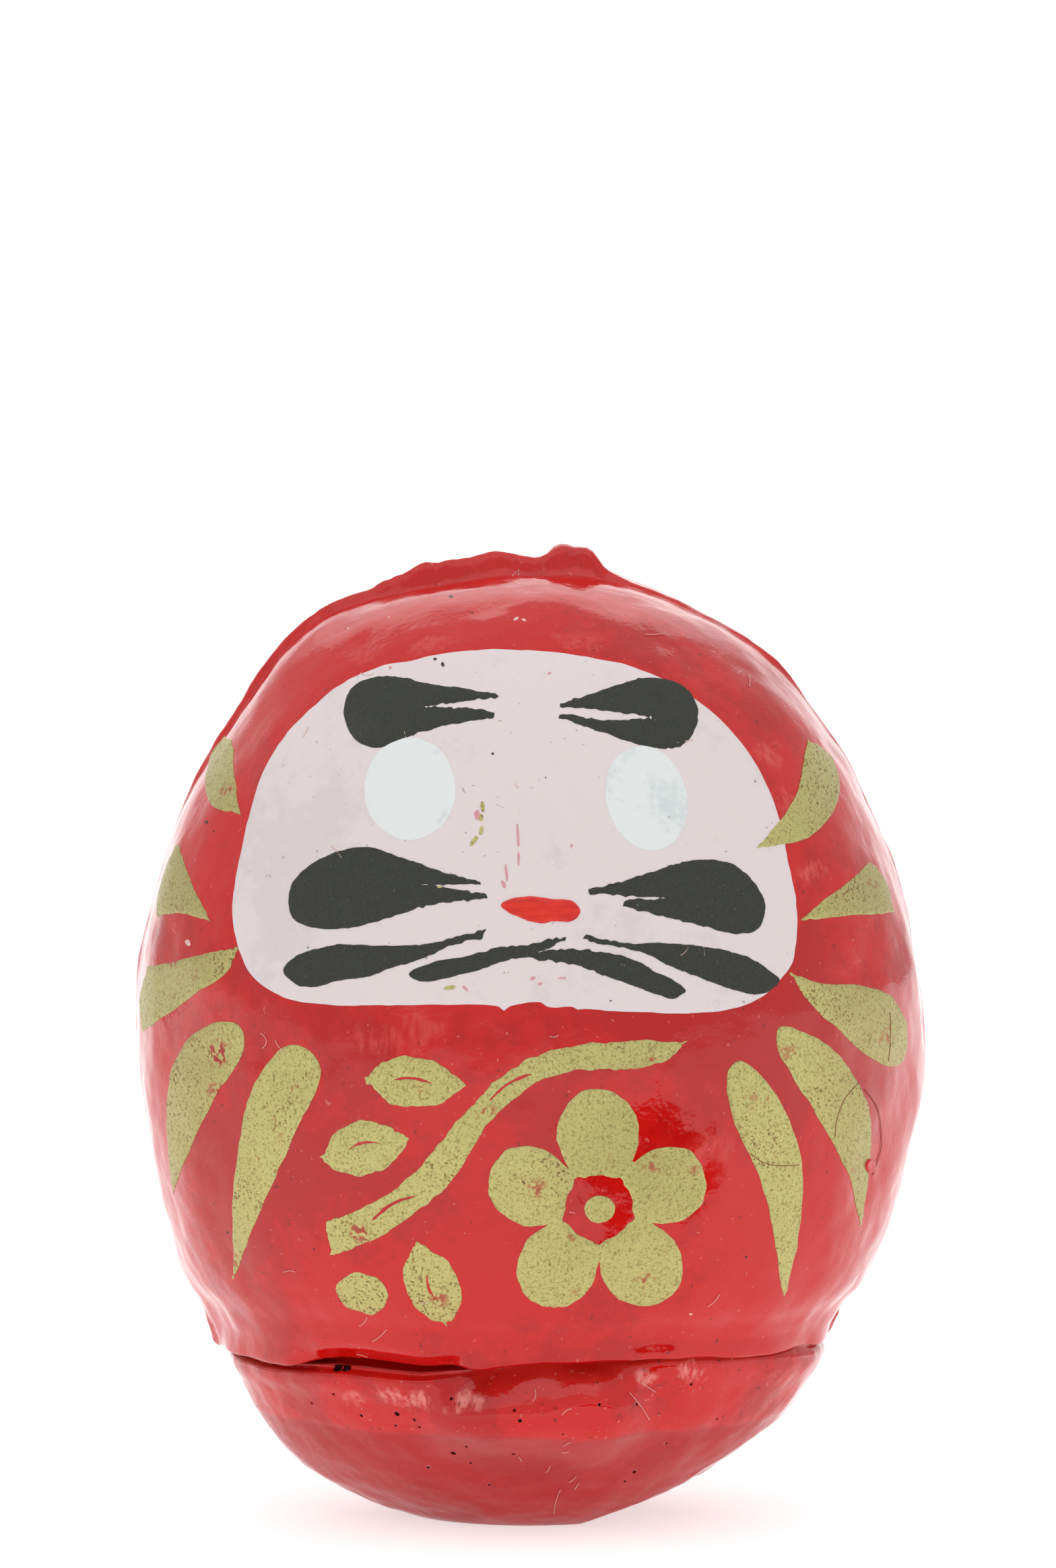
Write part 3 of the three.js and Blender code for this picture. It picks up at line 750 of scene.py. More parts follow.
casting = {
    "foot": 9.0, "rim": 22.7, "top": 12.9, "fullness": 1.35, "depthRatio": 27.5 / 30.3,
    "plugRadius": 21.4, "plugHeight": 4.0, "turns": 420, "rows": 110,
    # hollows and swellings: x, y, z, reach and height
    "dents": [
        (-18, -3, 5, 6, 1.2), (19, -8, 9, 5, 0.25), (4, -18, 10.5, 3.5, 0.25), (-7, -19, 10.5, 3, 0.3),
        (12, -16, 10, 3, 0.22), (-15, -13, 10, 3, 0.2), (8, -17, 8, 3, -0.2), (-3, -17, 6, 4, -0.15),
        (2, -21, 11.6, 2.2, 0.3), (7, -20, 12.2, 2.0, 0.3), (-10, -19, 11.6, 1.8, 0.25), (0, -20, 9.6, 1.4, -0.2),
    ],
    # flat cuts at the lower right: direction, and distance from the centre of the casting
    "trims": [((0.56, -0.12, -0.82), 5.0), ((0.36, -0.08, -0.93), 2.0)], "trimCentre": 9.0,
    "step": 0.05, "stepHeight": 8.3,       # a slight step, at the height below which the lacquer is coloured darker
    "band": 0.4, "bandHeight": 11.7,       # a rounded band runs round the rim
    "groove": 0.6, "grooveHeight": 12.75,  # and just under the lip the casting draws in
    "shoulder": (1.8, 1.2), "crest": 9.9,  # how far the rim swells at the front middle, and draws in above
    "closing": (0.2, 0.22),                # how far the rim swells and rises where it closes the gap
}
pinholes = {
    # across, height above the floor and radius of each hole
    "front": [
        (-14.2, 13.05, 0.75), (-13.6, 13.1, 0.65), (-14.6, 11.0, 0.2), (-12.5, 9.4, 0.22), (-9.8, 9.8, 0.36),
        (-8.5, 9.4, 0.22), (-9.9, 8.8, 0.18), (-8.1, 8.8, 0.16), (-5.7, 11.3, 0.2), (-1.0, 10.6, 0.18),
        (-0.6, 9.8, 0.24), (5.3, 11.0, 0.2), (8.1, 10.8, 0.18), (12.2, 12.0, 0.2), (-4.6, 7.4, 0.2),
        (-5.6, 6.7, 0.34), (-4.3, 5.9, 0.18), (-1.1, 6.8, 0.2), (-7.5, 5.3, 0.2), (8.0, 4.9, 0.24),
        (7.3, 4.1, 0.2), (-16.3, 10.0, 0.16), (2.6, 8.7, 0.14), (14.2, 8.9, 0.16), (-2.9, 4.0, 0.16),
        (10.4, 7.2, 0.14),
    ],
    "seed": 5, "others": 26, "scale": 0.62, "depth": 1.3, "sunk": 0.25,
}
bubbles = {
    "places": [(-18.0, 9.8, 0.45), (-14.4, 7.3, 0.6), (-10.4, 4.3, 0.5), (-8.7, 3.9, 0.45), (15.5, 7.0, 0.35)],
    "wall": 0.09, "sunk": 0.04,
}
outside = 60                               # well clear of the doll, mm


def makeTurnTree():  # turns a profile about Z and squeezes it front to back
    tree, start, end = newShapeTree(
        "turnedCasting", ("Profile", "Object", None), ("Turns", "Int", 64), ("Depth Ratio", "Float", 1.0))
    profile = addNode(tree, "GeometryNodeObjectInfo", {"Object": start["Profile"]})
    ring = addNode(tree, "GeometryNodeCurvePrimitiveCircle", {"Resolution": start["Turns"], "Radius": 0.01})
    swept = addNode(tree, "GeometryNodeCurveToMesh", {
        "Curve": ring.outputs["Curve"], "Profile Curve": profile.outputs["Geometry"]})
    squeeze = addNode(tree, "ShaderNodeCombineXYZ", {"X": 1.0, "Y": start["Depth Ratio"], "Z": 1.0})
    sized = addNode(tree, "GeometryNodeTransform", {
        "Geometry": swept.outputs["Mesh"], "Scale": squeeze.outputs["Vector"]})
    merged = addNode(tree, "GeometryNodeMergeByDistance", {"Geometry": sized.outputs["Geometry"], "Distance": 1e-6})
    return endTree(tree, start, end, merged.outputs[0])


def readPoints(mesh):
    flat = np.zeros(len(mesh.vertices) * 3)
    mesh.vertices.foreach_get("co", flat)
    return flat.reshape(-1, 3) / mm


def shapeBase(p):  # moves the turned casting's points, and says which way is out
    x, y, z = p.T
    radius = np.hypot(x, y / casting["depthRatio"])
    out = p * np.array([1, 1 / casting["depthRatio"] ** 2, 0])
    out /= np.maximum(np.linalg.norm(out, axis=1, keepdims=True), 1e-6)
    out[:, 2] = -np.clip((casting["rim"] - radius) / 10, 0, 1.2)
    out /= np.linalg.norm(out, axis=1, keepdims=True)
    skin = (radius > 5) & (z < casting["top"] + 0.01) & (z > 0.02)
    share = np.where(skin, gentle(z, 0.1, 1.2), 0)
    lift = swellings(p, casting["dents"])
    edge = casting["stepHeight"] + 0.35 * lumps(p * levelled, 6.0, 21)
    lift += casting["step"] * gentle(z, edge - 0.25, edge + 0.25)
    front = y < 0
    # towards the right and the back the rim swells up to the lip and closes the gap
    swell, rise = casting["closing"]
    closing = np.clip(gentle(x, 7, 11) * front + gentle(y, -4, 6), 0, 1) * gentle(z, 11.0, 12.8)
    middle = gentle(x, -9, -3.5) * (1 - gentle(x, 5.5, 11)) * front
    lift += swell * closing
    band = casting["band"] * (1 + 0.6 * lumps(p * levelled, 4.5, 31)) * bump(z, casting["bandHeight"], 1.0)
    groove = casting["groove"] * bump(z, casting["grooveHeight"], 0.3) * (1 - 0.6 * closing)
    lift += (band - groove) * (1 - middle)
    swell, draw = casting["shoulder"]
    crest = casting["crest"] + 0.5 * lumps(p * levelled, 3.5, 38)
    shoulder = swell * bump(z, crest, np.where(z < crest, 2.6, 1.7)) - draw * gentle(z, crest, casting["top"])
    lift += middle * (1 + 0.25 * lumps(p * levelled, 3.0, 37)) * shoulder
    moved = p + out * (lift * share)[:, None]
    moved[:, 2] += (rise * closing + lipRise(p)) * gentle(z, 8.5, 12.6)
    centre = casting["trimCentre"]
    for direction, far in casting["trims"]:
        facing = np.array(direction) / np.linalg.norm(direction)
        beyond = (moved - [0, 0, centre]) @ facing - (far + centre * abs(facing[2]))
        moved -= facing * (np.maximum(beyond, 0) * 0.9)[:, None]
    moved[:, 2] = np.maximum(moved[:, 2], 0)
    return moved, out * share[:, None]


def buildBase():
    quarter = np.linspace(0, math.pi / 2, casting["rows"] + 1)
    out, down = [np.maximum(part, 0) ** (2 / casting["fullness"]) for part in (np.sin(quarter), np.cos(quarter))]
    skin = zip(casting["foot"] + (casting["rim"] - casting["foot"]) * out, casting["top"] * (1 - down))
    plug, top = casting["plugRadius"], casting["top"]
    tip = top + casting["plugHeight"]
    profile = [(0.0, 0.0), *skin, (plug, top), (plug, tip), (0.0, tip)]
    curve = bpy.data.curves.new("baseProfile", "CURVE")
    curve.dimensions = "3D"
    spline = curve.splines.new("POLY")
    spline.points.add(len(profile) - 1)
    for point, (radius, height) in zip(spline.points, profile):
        point.co = (radius * mm - 0.01, -height * mm, 0, 1)
    line = linked("baseProfile", curve)
    casted = makeMesh("baseWeight", [(0, 0, 0)], [], [])
    applyTree(casted, makeTurnTree(), {
        "Profile": line, "Turns": casting["turns"], "Depth Ratio": casting["depthRatio"], "Material": baseLacquer})
    bpy.data.objects.remove(line)
    points, outward = shapeBase(readPoints(casted.data))
    casted.data.vertices.foreach_set("co", (points * mm).ravel())
    casted.data.update()
    storeVectors(casted.data, "outward", outward)
    casted.data.shade_smooth()
    outwards(casted)
    return applyTree(casted, lumpTree, {
        "Lump Size": 5.0, "Lump Height": 0.3, "Dimple Size": 1.7, "Dimple Height": 0.09, "Seed": 7.0,
        "Material": baseLacquer})


def surfaceOf(*solids):  # the joined surface of some pieces, to lay things on
    points, faces = [], []
    for solid in solids:
        first = len(points)
        points.extend(readPoints(solid.data).tolist())
        faces.extend([[first + v for v in face.vertices] for face in solid.data.polygons])
    return BVHTree.FromPolygons(points, faces)


def settleOn(surface, start, direction):  # first point of a surface along a ray, and the way out there
    return surface.ray_cast(Vector(start), Vector(direction))[:2]


def cutPinholes(solid):
    surface = surfaceOf(solid)
    random = np.random.default_rng(pinholes["seed"])
    spots = [(settleOn(surface, (x, -outside, z), (0, 1, 0)), radius * pinholes["scale"])
             for x, z, radius in pinholes["front"]]
    for _ in range(pinholes["others"]):
        around, height = random.uniform(-0.2, math.pi + 0.2), random.uniform(2.5, 11.8)
        radius = random.uniform(0.07, 0.18)
        start = (outside * math.cos(around), outside * math.sin(around), height)
        spots.append((settleOn(surface, start, (-start[0], -start[1], 0)), radius))
    work = bmesh.new()
    for (spot, normal), radius in spots:
        if spot is None:
            continue
        turned = normal.to_track_quat("Z", "Y").to_matrix()
        for vertex in bmesh.ops.create_icosphere(work, subdivisions=2, radius=radius)["verts"]:
            vertex.co.z *= pinholes["depth"]
            vertex.co = (turned @ vertex.co + spot - normal * radius * pinholes["sunk"]) * mm
    mesh = bpy.data.meshes.new("holeBalls")
    work.to_mesh(mesh)
    work.free()
    # the holes' walls take this dark red: painted shade inside the holes
    mesh.materials.append(pinholeDark)
    cut = solid.modifiers.new("cut", "BOOLEAN")
    cut.object = balls = linked("holeBalls", mesh)
    cut.operation, cut.solver, cut.material_mode = "DIFFERENCE", "MANIFOLD", "TRANSFER"
    keepMesh(solid, cut)
    bpy.data.objects.remove(balls)


base = buildBase()
cutPinholes(base)
print("base cast", len(base.data.vertices))

# Painted marks

paint = {
    "coat": 0.05,       # thickness, mm
    "sunk": 0.04,       # how far it reaches into the surface below
    "spacing": 0.55,    # between points of the field, at most
    "step": 0.16,       # between points of an edge
    "inset": 0.11,      # from the edge to the row of points beside it
    "rim": 0.014,       # ridge where the paint dried at its edge
    "roll": 28.0,       # radius that the marks are laid out on
    "turnLimit": 0.998,
}
noCorners = np.zeros((0, 2))
shellSurface = surfaceOf(frontShell, backShell)
bodySurface = surfaceOf(frontShell, backShell, base)


def smoothCurve(points, closed=False, step=paint["step"]):  # through all the points, evenly stepped
    given = [np.array(p, float) for p in points]
    if closed:
        ring = [given[-1]] + given + given[:2]
    else:
        ring = [2 * given[0] - given[1]] + given + [2 * given[-1] - given[-2]]

    def between(first, last, k0, k1, t):
        return ((k1 - t) * first + (t - k0) * last) / (k1 - k0)

    made = []
    for a, b, c, d in zip(ring, ring[1:], ring[2:], ring[3:]):
        gaps = [math.sqrt(max(np.linalg.norm(q - p), 1e-4)) for p, q in ((a, b), (b, c), (c, d))]
        k0, k1, k2, k3 = np.cumsum([0] + gaps)
        steps = max(1, round(np.linalg.norm(c - b) / step))
        t = np.linspace(k1, k2, steps, endpoint=False)[:, None]
        a1, a2, a3 = between(a, b, k0, k1, t), between(b, c, k1, k2, t), between(c, d, k2, k3, t)
        made.append(between(between(a1, a2, k0, k2, t), between(a2, a3, k1, k3, t), k1, k2, t))
    return np.concatenate(made)


def stroke(*runs):  # smooth runs of points with a corner at each run's last point
    made, last = [], None
    for run in runs:
        made.append(smoothCurve(run if last is None else [last, *run]))
        last = run[-1]
    corners = np.array([runs[0][0]] + [run[-1] for run in runs], float)
    if np.linalg.norm(corners[-1] - corners[0]) > 0.02:
        made.append(smoothCurve([last, runs[0][0]]))
    return np.concatenate(made), corners


def blob(points):
    return smoothCurve(points, closed=True), noCorners


def oval(x, z, halfAcross, halfUp, tilt=0.0):
    around = np.arange(0, 2 * math.pi, paint["step"] / max(halfAcross, halfUp))
    flat = np.stack([halfAcross * np.cos(around), halfUp * np.sin(around)], axis=1)
    turn = np.array([[math.cos(tilt), math.sin(tilt)], [-math.sin(tilt), math.cos(tilt)]])
    return flat @ turn + np.array([x, z]), noCorners


def sideways(loop):  # the direction across a loop at each of its points
    along = np.roll(loop, -1, axis=0) - np.roll(loop, 1, axis=0)
    normal = np.stack([along[:, 1], -along[:, 0]], axis=1)
    return normal / np.maximum(np.linalg.norm(normal, axis=1, keepdims=True), 1e-6)


def roughened(shape, wobble, size, fray, frayReach, seed):  # an edge's own unevenness, more at brush tips
    loop, corners = shape

    def uneven(depth, size, shift):
        return lumps(np.column_stack([loop, np.full(len(loop), seed * depth)]), size, seed + shift)

    amount = wobble * (uneven(3.3, size, 0) + 0.5 * uneven(1.7, size * 0.4, 1))
    if len(corners):
        away = np.min(np.linalg.norm(loop[:, None] - corners[None], axis=2), axis=1)
        amount += fray * (1 - gentle(away, 0, frayReach)) * uneven(2.9, 0.3, 2)
    return loop + sideways(loop) * amount[:, None]


def covered(points, loops):  # inside an odd number of loops: a loop inside a hole is painted again
    within = np.zeros(len(points), dtype=bool)
    for loop in loops:
        for (x1, z1), (x2, z2) in zip(loop, np.roll(loop, -1, axis=0)):
            crosses = (z1 > points[:, 1]) != (z2 > points[:, 1])
            with np.errstate(divide="ignore", invalid="ignore"):
                at = (x2 - x1) * (points[:, 1] - z1) / (z2 - z1) + x1
            within ^= crosses & (points[:, 0] < at)
    return within


def halfWidthAt(z):
    up = np.abs(z - egg["widest"]) / (egg["crown"] - egg["widest"])
    return egg["halfWidth"] * np.maximum(1 - up ** egg["fullness"], 1e-4) ** (1 / egg["fullness"])


def unrolled(flat):  # front view (x, z) to (distance round the body, z)
    share = np.clip(flat[:, 0] / halfWidthAt(flat[:, 1]), -paint["turnLimit"], paint["turnLimit"])
    return np.stack([np.arcsin(share) * paint["roll"], flat[:, 1]], axis=1)


def rolled(flat):  # and back, onto the ideal body
    around, z = flat[:, 0] / paint["roll"], flat[:, 1]
    half = halfWidthAt(z)
    return np.stack([half * np.sin(around), -half * np.cos(around) * egg["halfDepth"] / egg["halfWidth"], z], axis=1)


def edgeDistance(points, loops):
    least = np.full(len(points), 1e9)
    for loop in loops:
        span = np.roll(loop, -1, axis=0) - loop
        size = np.maximum((span ** 2).sum(axis=1), 1e-9)
        for first in range(0, len(points), 800):  # in parts, to save memory
            part = points[first:first + 800, None]
            share = np.clip(((part - loop) * span).sum(axis=2) / size, 0, 1)
            away = np.linalg.norm(part - (loop + share[..., None] * span), axis=2).min(axis=1)
            least[first:first + 800] = np.minimum(least[first:first + 800], away)
    return least


def makeFilm(name, loops, material, level=0.0, coat=paint["coat"]):  # a closed film of paint inside the loops
    loops = [unrolled(loop) for loop in loops]
    lows = np.min([loop.min(axis=0) for loop in loops], axis=0)
    highs = np.max([loop.max(axis=0) for loop in loops], axis=0)
    gap = min(paint["spacing"], max(0.2, (highs - lows).min() / 5))
    columns, rows = np.meshgrid(np.arange(lows[0], highs[0], gap), np.arange(lows[1], highs[1], gap * 0.87))
    columns = columns + (np.arange(rows.shape[0]) % 2)[:, None] * gap / 2
    field = np.stack([columns.ravel(), rows.ravel()], axis=1)
    field = field[covered(field, loops)]
    field = field[edgeDistance(field, loops) > gap * 0.45]
    inset = paint["inset"]
    beside = np.concatenate([loop + sideways(loop) * away for loop in loops for away in (-inset, inset)])
    beside = beside[covered(beside, loops)]
    beside = beside[edgeDistance(beside, loops) > 0.1]
    edges, first = [], 0
    for loop in loops:
        edges += [(first + i, first + (i + 1) % len(loop)) for i in range(len(loop))]
        first += len(loop)
    flat = np.concatenate([*loops, beside, field])
    made = delaunay_2d_cdt([Vector(p) for p in flat], edges, [], 0, 1e-4)
    points = np.array([tuple(p) for p in made[0]])
    triangles = np.array([face for face in made[2] if len(face) == 3])
    triangles = triangles[covered(points[triangles].mean(axis=1), loops)]
    used, triangles = np.unique(triangles, return_inverse=True)
    points, triangles = points[used], triangles.reshape(-1, 3)
    # rounded off at its edge, with a slight ridge just inside
    deep = edgeDistance(points, loops)
    rise = level * paint["coat"] + coat * (0.45 + 0.55 * gentle(deep, 0, inset)) + paint["rim"] * bump(deep, 0.16, 0.12)
    ideal = rolled(points)
    tops, bottoms = [], []
    for spot, normal, height in zip(ideal, eggNormal(ideal), rise):
        hit = shellSurface.ray_cast(Vector(spot + normal * 4), Vector(-normal), 9)[0]
        hit = np.array(hit) if hit else spot
        tops.append(hit + normal * height)
        bottoms.append(hit - normal * paint["sunk"])
    count = len(tops)
    upper = [tuple(t) for t in triangles.tolist()]
    directed = {(a, b) for t in upper for a, b in zip(t, t[1:] + t[:1])}
    walls = sorted((b, a, a + count, b + count) for a, b in directed if (b, a) not in directed)
    lower = [tuple(v + count for v in reversed(t)) for t in upper]
    solid = makeMesh(name, tops + bottoms, upper + lower + walls, [material])
    outwards(solid)
    solid.data.set_sharp_from_angle(angle=math.radians(50))
    return solid


# outlines as (x, z) on the front, mm
faceEdge = blob([
    (0, 67), (-7.5, 66.3), (-12.5, 65.2), (-17.1, 61.9), (-19.7, 57.9), (-21.1, 53.8), (-21.8, 49.7), (-21.8, 46.5),
    (-21, 43.8), (-19.2, 42), (-16.8, 41.2), (-10, 41.2), (-3.2, 41.35), (-2.1, 41.2), (-1.8, 40.95), (-1.4, 41.2),
    (0.1, 41.55), (0.9, 41.6), (1.4, 41.25), (2.0, 41.15), (3.3, 41.2), (3.7, 40.95), (4.2, 41.0), (7, 40.8),
    (13.5, 40.6), (15.2, 40.8), (17, 41.5), (18.4, 42.6), (19.5, 44.1), (20, 47.3), (19.4, 51.4), (17.8, 56.9),
    (15.3, 60.8), (12.1, 63.6), (7, 65.9),
])
inkEdges = {
    "browLeft": stroke(
        [(-2.1, 63.6), (-6.6, 64.3), (-10.6, 65), (-13.2, 64.2), (-13.9, 62.4), (-13.1, 60.6), (-11.4, 59.9), (-8, 61),
         (-2.5, 62)],
        [(-2.5, 62.3), (-7.7, 62.8)], [(-2.1, 63.4)]),
    "browRight": stroke(
        [(2.4, 63), (5, 63.9), (9.1, 64.8), (11.9, 64), (12.7, 61.9), (11.5, 60), (9.5, 59.8), (5.1, 61.1), (2.3, 62)],
        [(2.3, 62.2), (6, 61.8), (9.3, 62)], [(6, 62.5), (2.4, 62.8)]),
    "cheekLeft": stroke(
        [(-3.5, 50.3), (-7.5, 51.3), (-11.9, 52.6), (-15.3, 51.6), (-17.4, 49.7), (-17.4, 47.4), (-15.4, 46.6),
         (-12.4, 46.9), (-7.2, 48.5), (-3, 49.1)],
        [(-3.1, 49.3), (-7.9, 50)], [(-3.5, 50.1)]),
    "cheekRight": stroke(
        [(4.5, 49.7), (8, 50.6), (12.4, 51.7), (15.5, 51.1), (17.5, 48.5), (17, 46.6), (15.4, 46.2), (12.7, 46.9),
         (7, 48.5)],
        [(7.1, 48.8), (10.1, 49)], [(4.6, 49.4)]),
    "whiskerLeft": stroke(
        [(-3.1, 46.85), (-4.6, 46.5), (-6.4, 45.95), (-8.15, 45.6), (-10, 45.5), (-13.85, 45.5), (-14.95, 45.3),
         (-16.75, 44.7), (-17.7, 43.95), (-18, 43.45), (-17.1, 42.5), (-16.1, 42.3), (-13.85, 42.9), (-11.7, 43.25),
         (-9.9, 43.95), (-8.15, 44.5), (-6.55, 45.2), (-5, 45.85), (-3.45, 46.2)]),
    "whiskerRight": stroke(
        [(4.1, 46.2), (5.3, 45.8), (6.7, 45.5), (7.9, 45.2), (9.1, 44.8), (10.3, 44.1), (12.4, 43.25), (14.4, 42.4),
         (16, 41.85), (17, 41.75), (17.9, 42.1), (18.4, 42.7), (17.6, 43.5), (16.4, 44.3), (14.4, 45.05),
         (11.5, 45.6), (9.1, 45.75), (7.9, 45.7), (6, 46), (4.3, 46.4)]),
    "whiskerCentre": stroke(
        [(2.75, 46.25), (1.35, 46.1), (0, 45.7), (-1.6, 45.6), (-3.2, 45.25), (-5, 44.8), (-7.3, 44.3), (-8.65, 43.5),
         (-8, 43), (-6.9, 43.05), (-5, 43.55), (-3.2, 44.05), (-1.6, 44.6), (0.35, 44.75), (1.95, 44.5),
         (4.1, 44.05), (5.5, 43.5), (7.1, 42.9), (9.5, 42), (10.5, 41.65), (11.6, 42.2), (10.7, 43), (9.5, 43.6),
         (8.3, 44.3), (6.9, 44.85), (5.3, 45.2), (2.4, 45.4), (0.76, 45.2)],
        [(2.7, 46.05)]),
}
eyes = {"eyeLeft": oval(-8.75, 56.9, 3.4, 3.7), "eyeRight": oval(8.75, 56.2, 3.0, 3.8, 0.3)}
mouthEdge = blob([(-1.95, 48.6), (-1.3, 49.05), (-0.2, 49.25), (1.5, 49.1), (3.1, 48.95), (3.85, 48.2), (3.4, 47.55),
                  (2.2, 47.45), (0.6, 47.4), (-0.5, 47.75), (-1.4, 48.1)])
stripes = {
    "stripeLeft1": stroke(
        [(-21.6, 54.6), (-22.2, 57.3), (-22.7, 60)], [(-24.1, 60.1), (-24.8, 57.6), (-24, 55.2), (-21.6, 54.6)]),
    "stripeLeft2": stroke(
        [(-23.6, 46.6), (-25, 49), (-26.5, 52)], [(-27.7, 50), (-28.3, 47.7), (-28.1, 46.4)],
        [(-26, 47), (-23.6, 46.6)]),
    "stripeLeft3": stroke(
        [(-21.5, 44.9), (-22.5, 42.8), (-25, 41), (-29.4, 37.6)], [(-29.7, 40), (-28.9, 42.6)],
        [(-25, 43.9), (-21.5, 44.9)]),
    "stripeLeft4": stroke(
        [(-26.9, 25.4), (-27, 33.5), (-25.8, 37.3), (-23.3, 39.2), (-21.5, 39.2), (-21, 37.6), (-23.3, 33.6),
         (-26.2, 27), (-26.9, 25.4)]),
    "stripeLeft5": stroke(
        [(-22.3, 19.4), (-21.9, 26.3), (-20.5, 34), (-18, 37.8), (-16.3, 37.8), (-15.2, 36.2), (-17.3, 30.8),
         (-20, 25), (-22.3, 19.4)]),
    "stripeRight1": stroke(
        [(17, 52.4), (20, 56.1), (21.1, 60)], [(23.2, 58.7), (23.8, 56.3), (21.1, 53.1), (17, 52.4)]),
    "stripeRight2": stroke(
        [(20.3, 47), (25, 47), (27.8, 46.8)], [(27.4, 49), (26, 50.9)], [(23.1, 49), (20.3, 47)]),
    "stripeRight3": stroke(
        [(19.2, 43.2), (20.3, 41.5), (24, 37.8), (27.1, 35.5), (28.5, 35.5), (28.8, 37.6), (27.6, 40.4), (25, 41.8),
         (21.5, 42.3), (19.2, 43.2)]),
    "stripeRight4": stroke(
        [(25.2, 23.2), (24.3, 27.1), (21.5, 32.6), (18.3, 37.8), (18.4, 39.2), (20.3, 38.8), (23.1, 36.8),
         (25.3, 33.4), (26.1, 28.5), (25.2, 23.2)]),
    "stripeRight5": stroke(
        [(19.1, 18.4), (17.4, 27.6), (14.9, 33.2), (14.6, 36), (15.5, 36.9), (18.3, 34.3), (20.4, 29.6),
         (20.3, 24), (19.1, 18.4)]),
}
sprig = {
    "emblemBough": stroke(
        [(-14.8, 22), (-10, 24.5), (-5.6, 28.4), (-2.6, 33), (2, 36.2), (9.4, 36.9), (11.6, 38.5)],
        [(5, 38.5), (-0.6, 37), (-5, 32.9), (-8.6, 28.6), (-12, 26.2), (-14.9, 24.8)]),
    "emblemLeafUpper": stroke(
        [(-4.6, 35.4), (-7, 37.2), (-9.6, 37.4), (-12, 35.8)], [(-9.8, 34), (-7, 33.9), (-4.6, 35.4)]),
    "emblemLeafMiddle": stroke(
        [(-8.6, 31.4), (-11.2, 32.6), (-13.8, 32), (-15.2, 29.8)], [(-12.8, 28.6), (-10.4, 29.2), (-8.6, 31.4)]),
    "emblemLeafLower": stroke(
        [(-8.2, 23.6), (-9.2, 21), (-8.4, 18.6), (-6, 16.9)], [(-5, 19.4), (-5.8, 22), (-8.2, 23.6)]),
    "emblemBud": blob([(-11.2, 20.6), (-13, 20.9), (-14.3, 19.6), (-13.4, 18), (-11.4, 17.8), (-10.4, 19.2)]),
}
veins = {  # where the brush left the red bare along a leaf or the bough: both ends and half the width
    "emblemBough": [((-11.5, 25.1), (-8.2, 27.1), 0.13), ((-2.9, 34.2), (0.4, 36.3), 0.12)],
    "emblemLeafUpper": [((-10.2, 35.6), (-7.0, 35.5), 0.1)],
    "emblemLeafMiddle": [((-13.2, 30.4), (-10.6, 31.0), 0.1)],
    "emblemLeafLower": [((-6.5, 19.0), (-7.4, 21.2), 0.1)],
}
blossom = {
    "centre": (5.2, 26.2), "radius": 8.6, "waist": 3.4, "petals": 5, "eye": 1.15,
    "gapReach": 2.5, "gapEnd": 2.85,     # the bare ring reaches out between the petals
}


def sliver(first, last, half):
    first, last = np.array(first), np.array(last)
    along = (last - first) / np.linalg.norm(last - first)
    aside = np.array([-along[1], along[0]])
    share = np.linspace(0, 1, 14)
    spine = first + (last - first) * share[:, None] + aside * (0.35 * np.sin(math.pi * share))[:, None]
    width = half * np.sin(math.pi * np.clip(share, 0.02, 0.98)) ** 0.6
    return np.concatenate([spine + aside * width[:, None], (spine - aside * width[:, None])[::-1][1:-1]])


def blossomLoops():
    around = np.arange(0, 2 * math.pi, 0.035)
    centre = np.array(blossom["centre"])
    heading = np.stack([-np.sin(around), np.cos(around)], axis=1)
    swell = np.abs(np.cos(blossom["petals"] * around / 2)) ** 0.55
    petals = blossom["waist"] + (blossom["radius"] * (1 + 0.04 * np.sin(around * 2 + 1)) - blossom["waist"]) * swell
    sharp = np.abs(np.sin(blossom["petals"] * around / 2)) ** 14
    gap = blossom["gapReach"] + (blossom["gapEnd"] - blossom["gapReach"]) * sharp
    eye = oval(centre[0] + 0.1, centre[1] - 0.1, blossom["eye"], blossom["eye"] * 0.92)[0]
    return centre + petals[:, None] * heading, eye, centre + gap[:, None] * heading


pieces = {}
for shapes, material, firstLevel, edge, seed in (  # edge: wobble, its size, fray at the tips and its reach
        ({"facePanel": faceEdge}, facePaint, 0, (0.06, 1.6, 0, 1), 31),
        (eyes, eyePaint, 1, (0.05, 1.4, 0, 1), 40),
        (inkEdges, inkPaint, 1, (0.05, 0.5, 0.13, 6.0), 50),
        ({"mouth": mouthEdge}, mouthPaint, 1, (0.07, 0.8, 0, 1), 60),
        (stripes, goldPaint, 0, (0.07, 1.2, 0.1, 3.0), 70),
        (sprig, goldPaint, 0, (0.12, 0.9, 0.25, 2.5), 90)):
    for order, (name, shape) in enumerate(shapes.items()):
        slits = [roughened((sliver(*vein), noCorners), 0.05, 0.5, 0, 1, 120 + order) for vein in veins.get(name, [])]
        level = 1 if name == "stripeRight1" else firstLevel  # its root lies on the face
        pieces[name] = makeFilm(name, [roughened(shape, *edge, seed + order), *slits], material, level,
                                0.09 if name == "mouth" else paint["coat"])
edges = ((0.12, 1.1, 0, 1, 101), (0.08, 0.7, 0, 1, 103), (0.08, 0.8, 0, 1, 102))
pieces["emblemBlossom"] = makeFilm("emblemBlossom", [
    roughened((loop, noCorners), *edge) for loop, edge in zip(blossomLoops(), edges)], goldPaint)
print("marks painted", len(pieces), sum(len(p.data.polygons) for p in pieces.values()))

# Flecks and smears: x, z, half across, half up and tilt of each

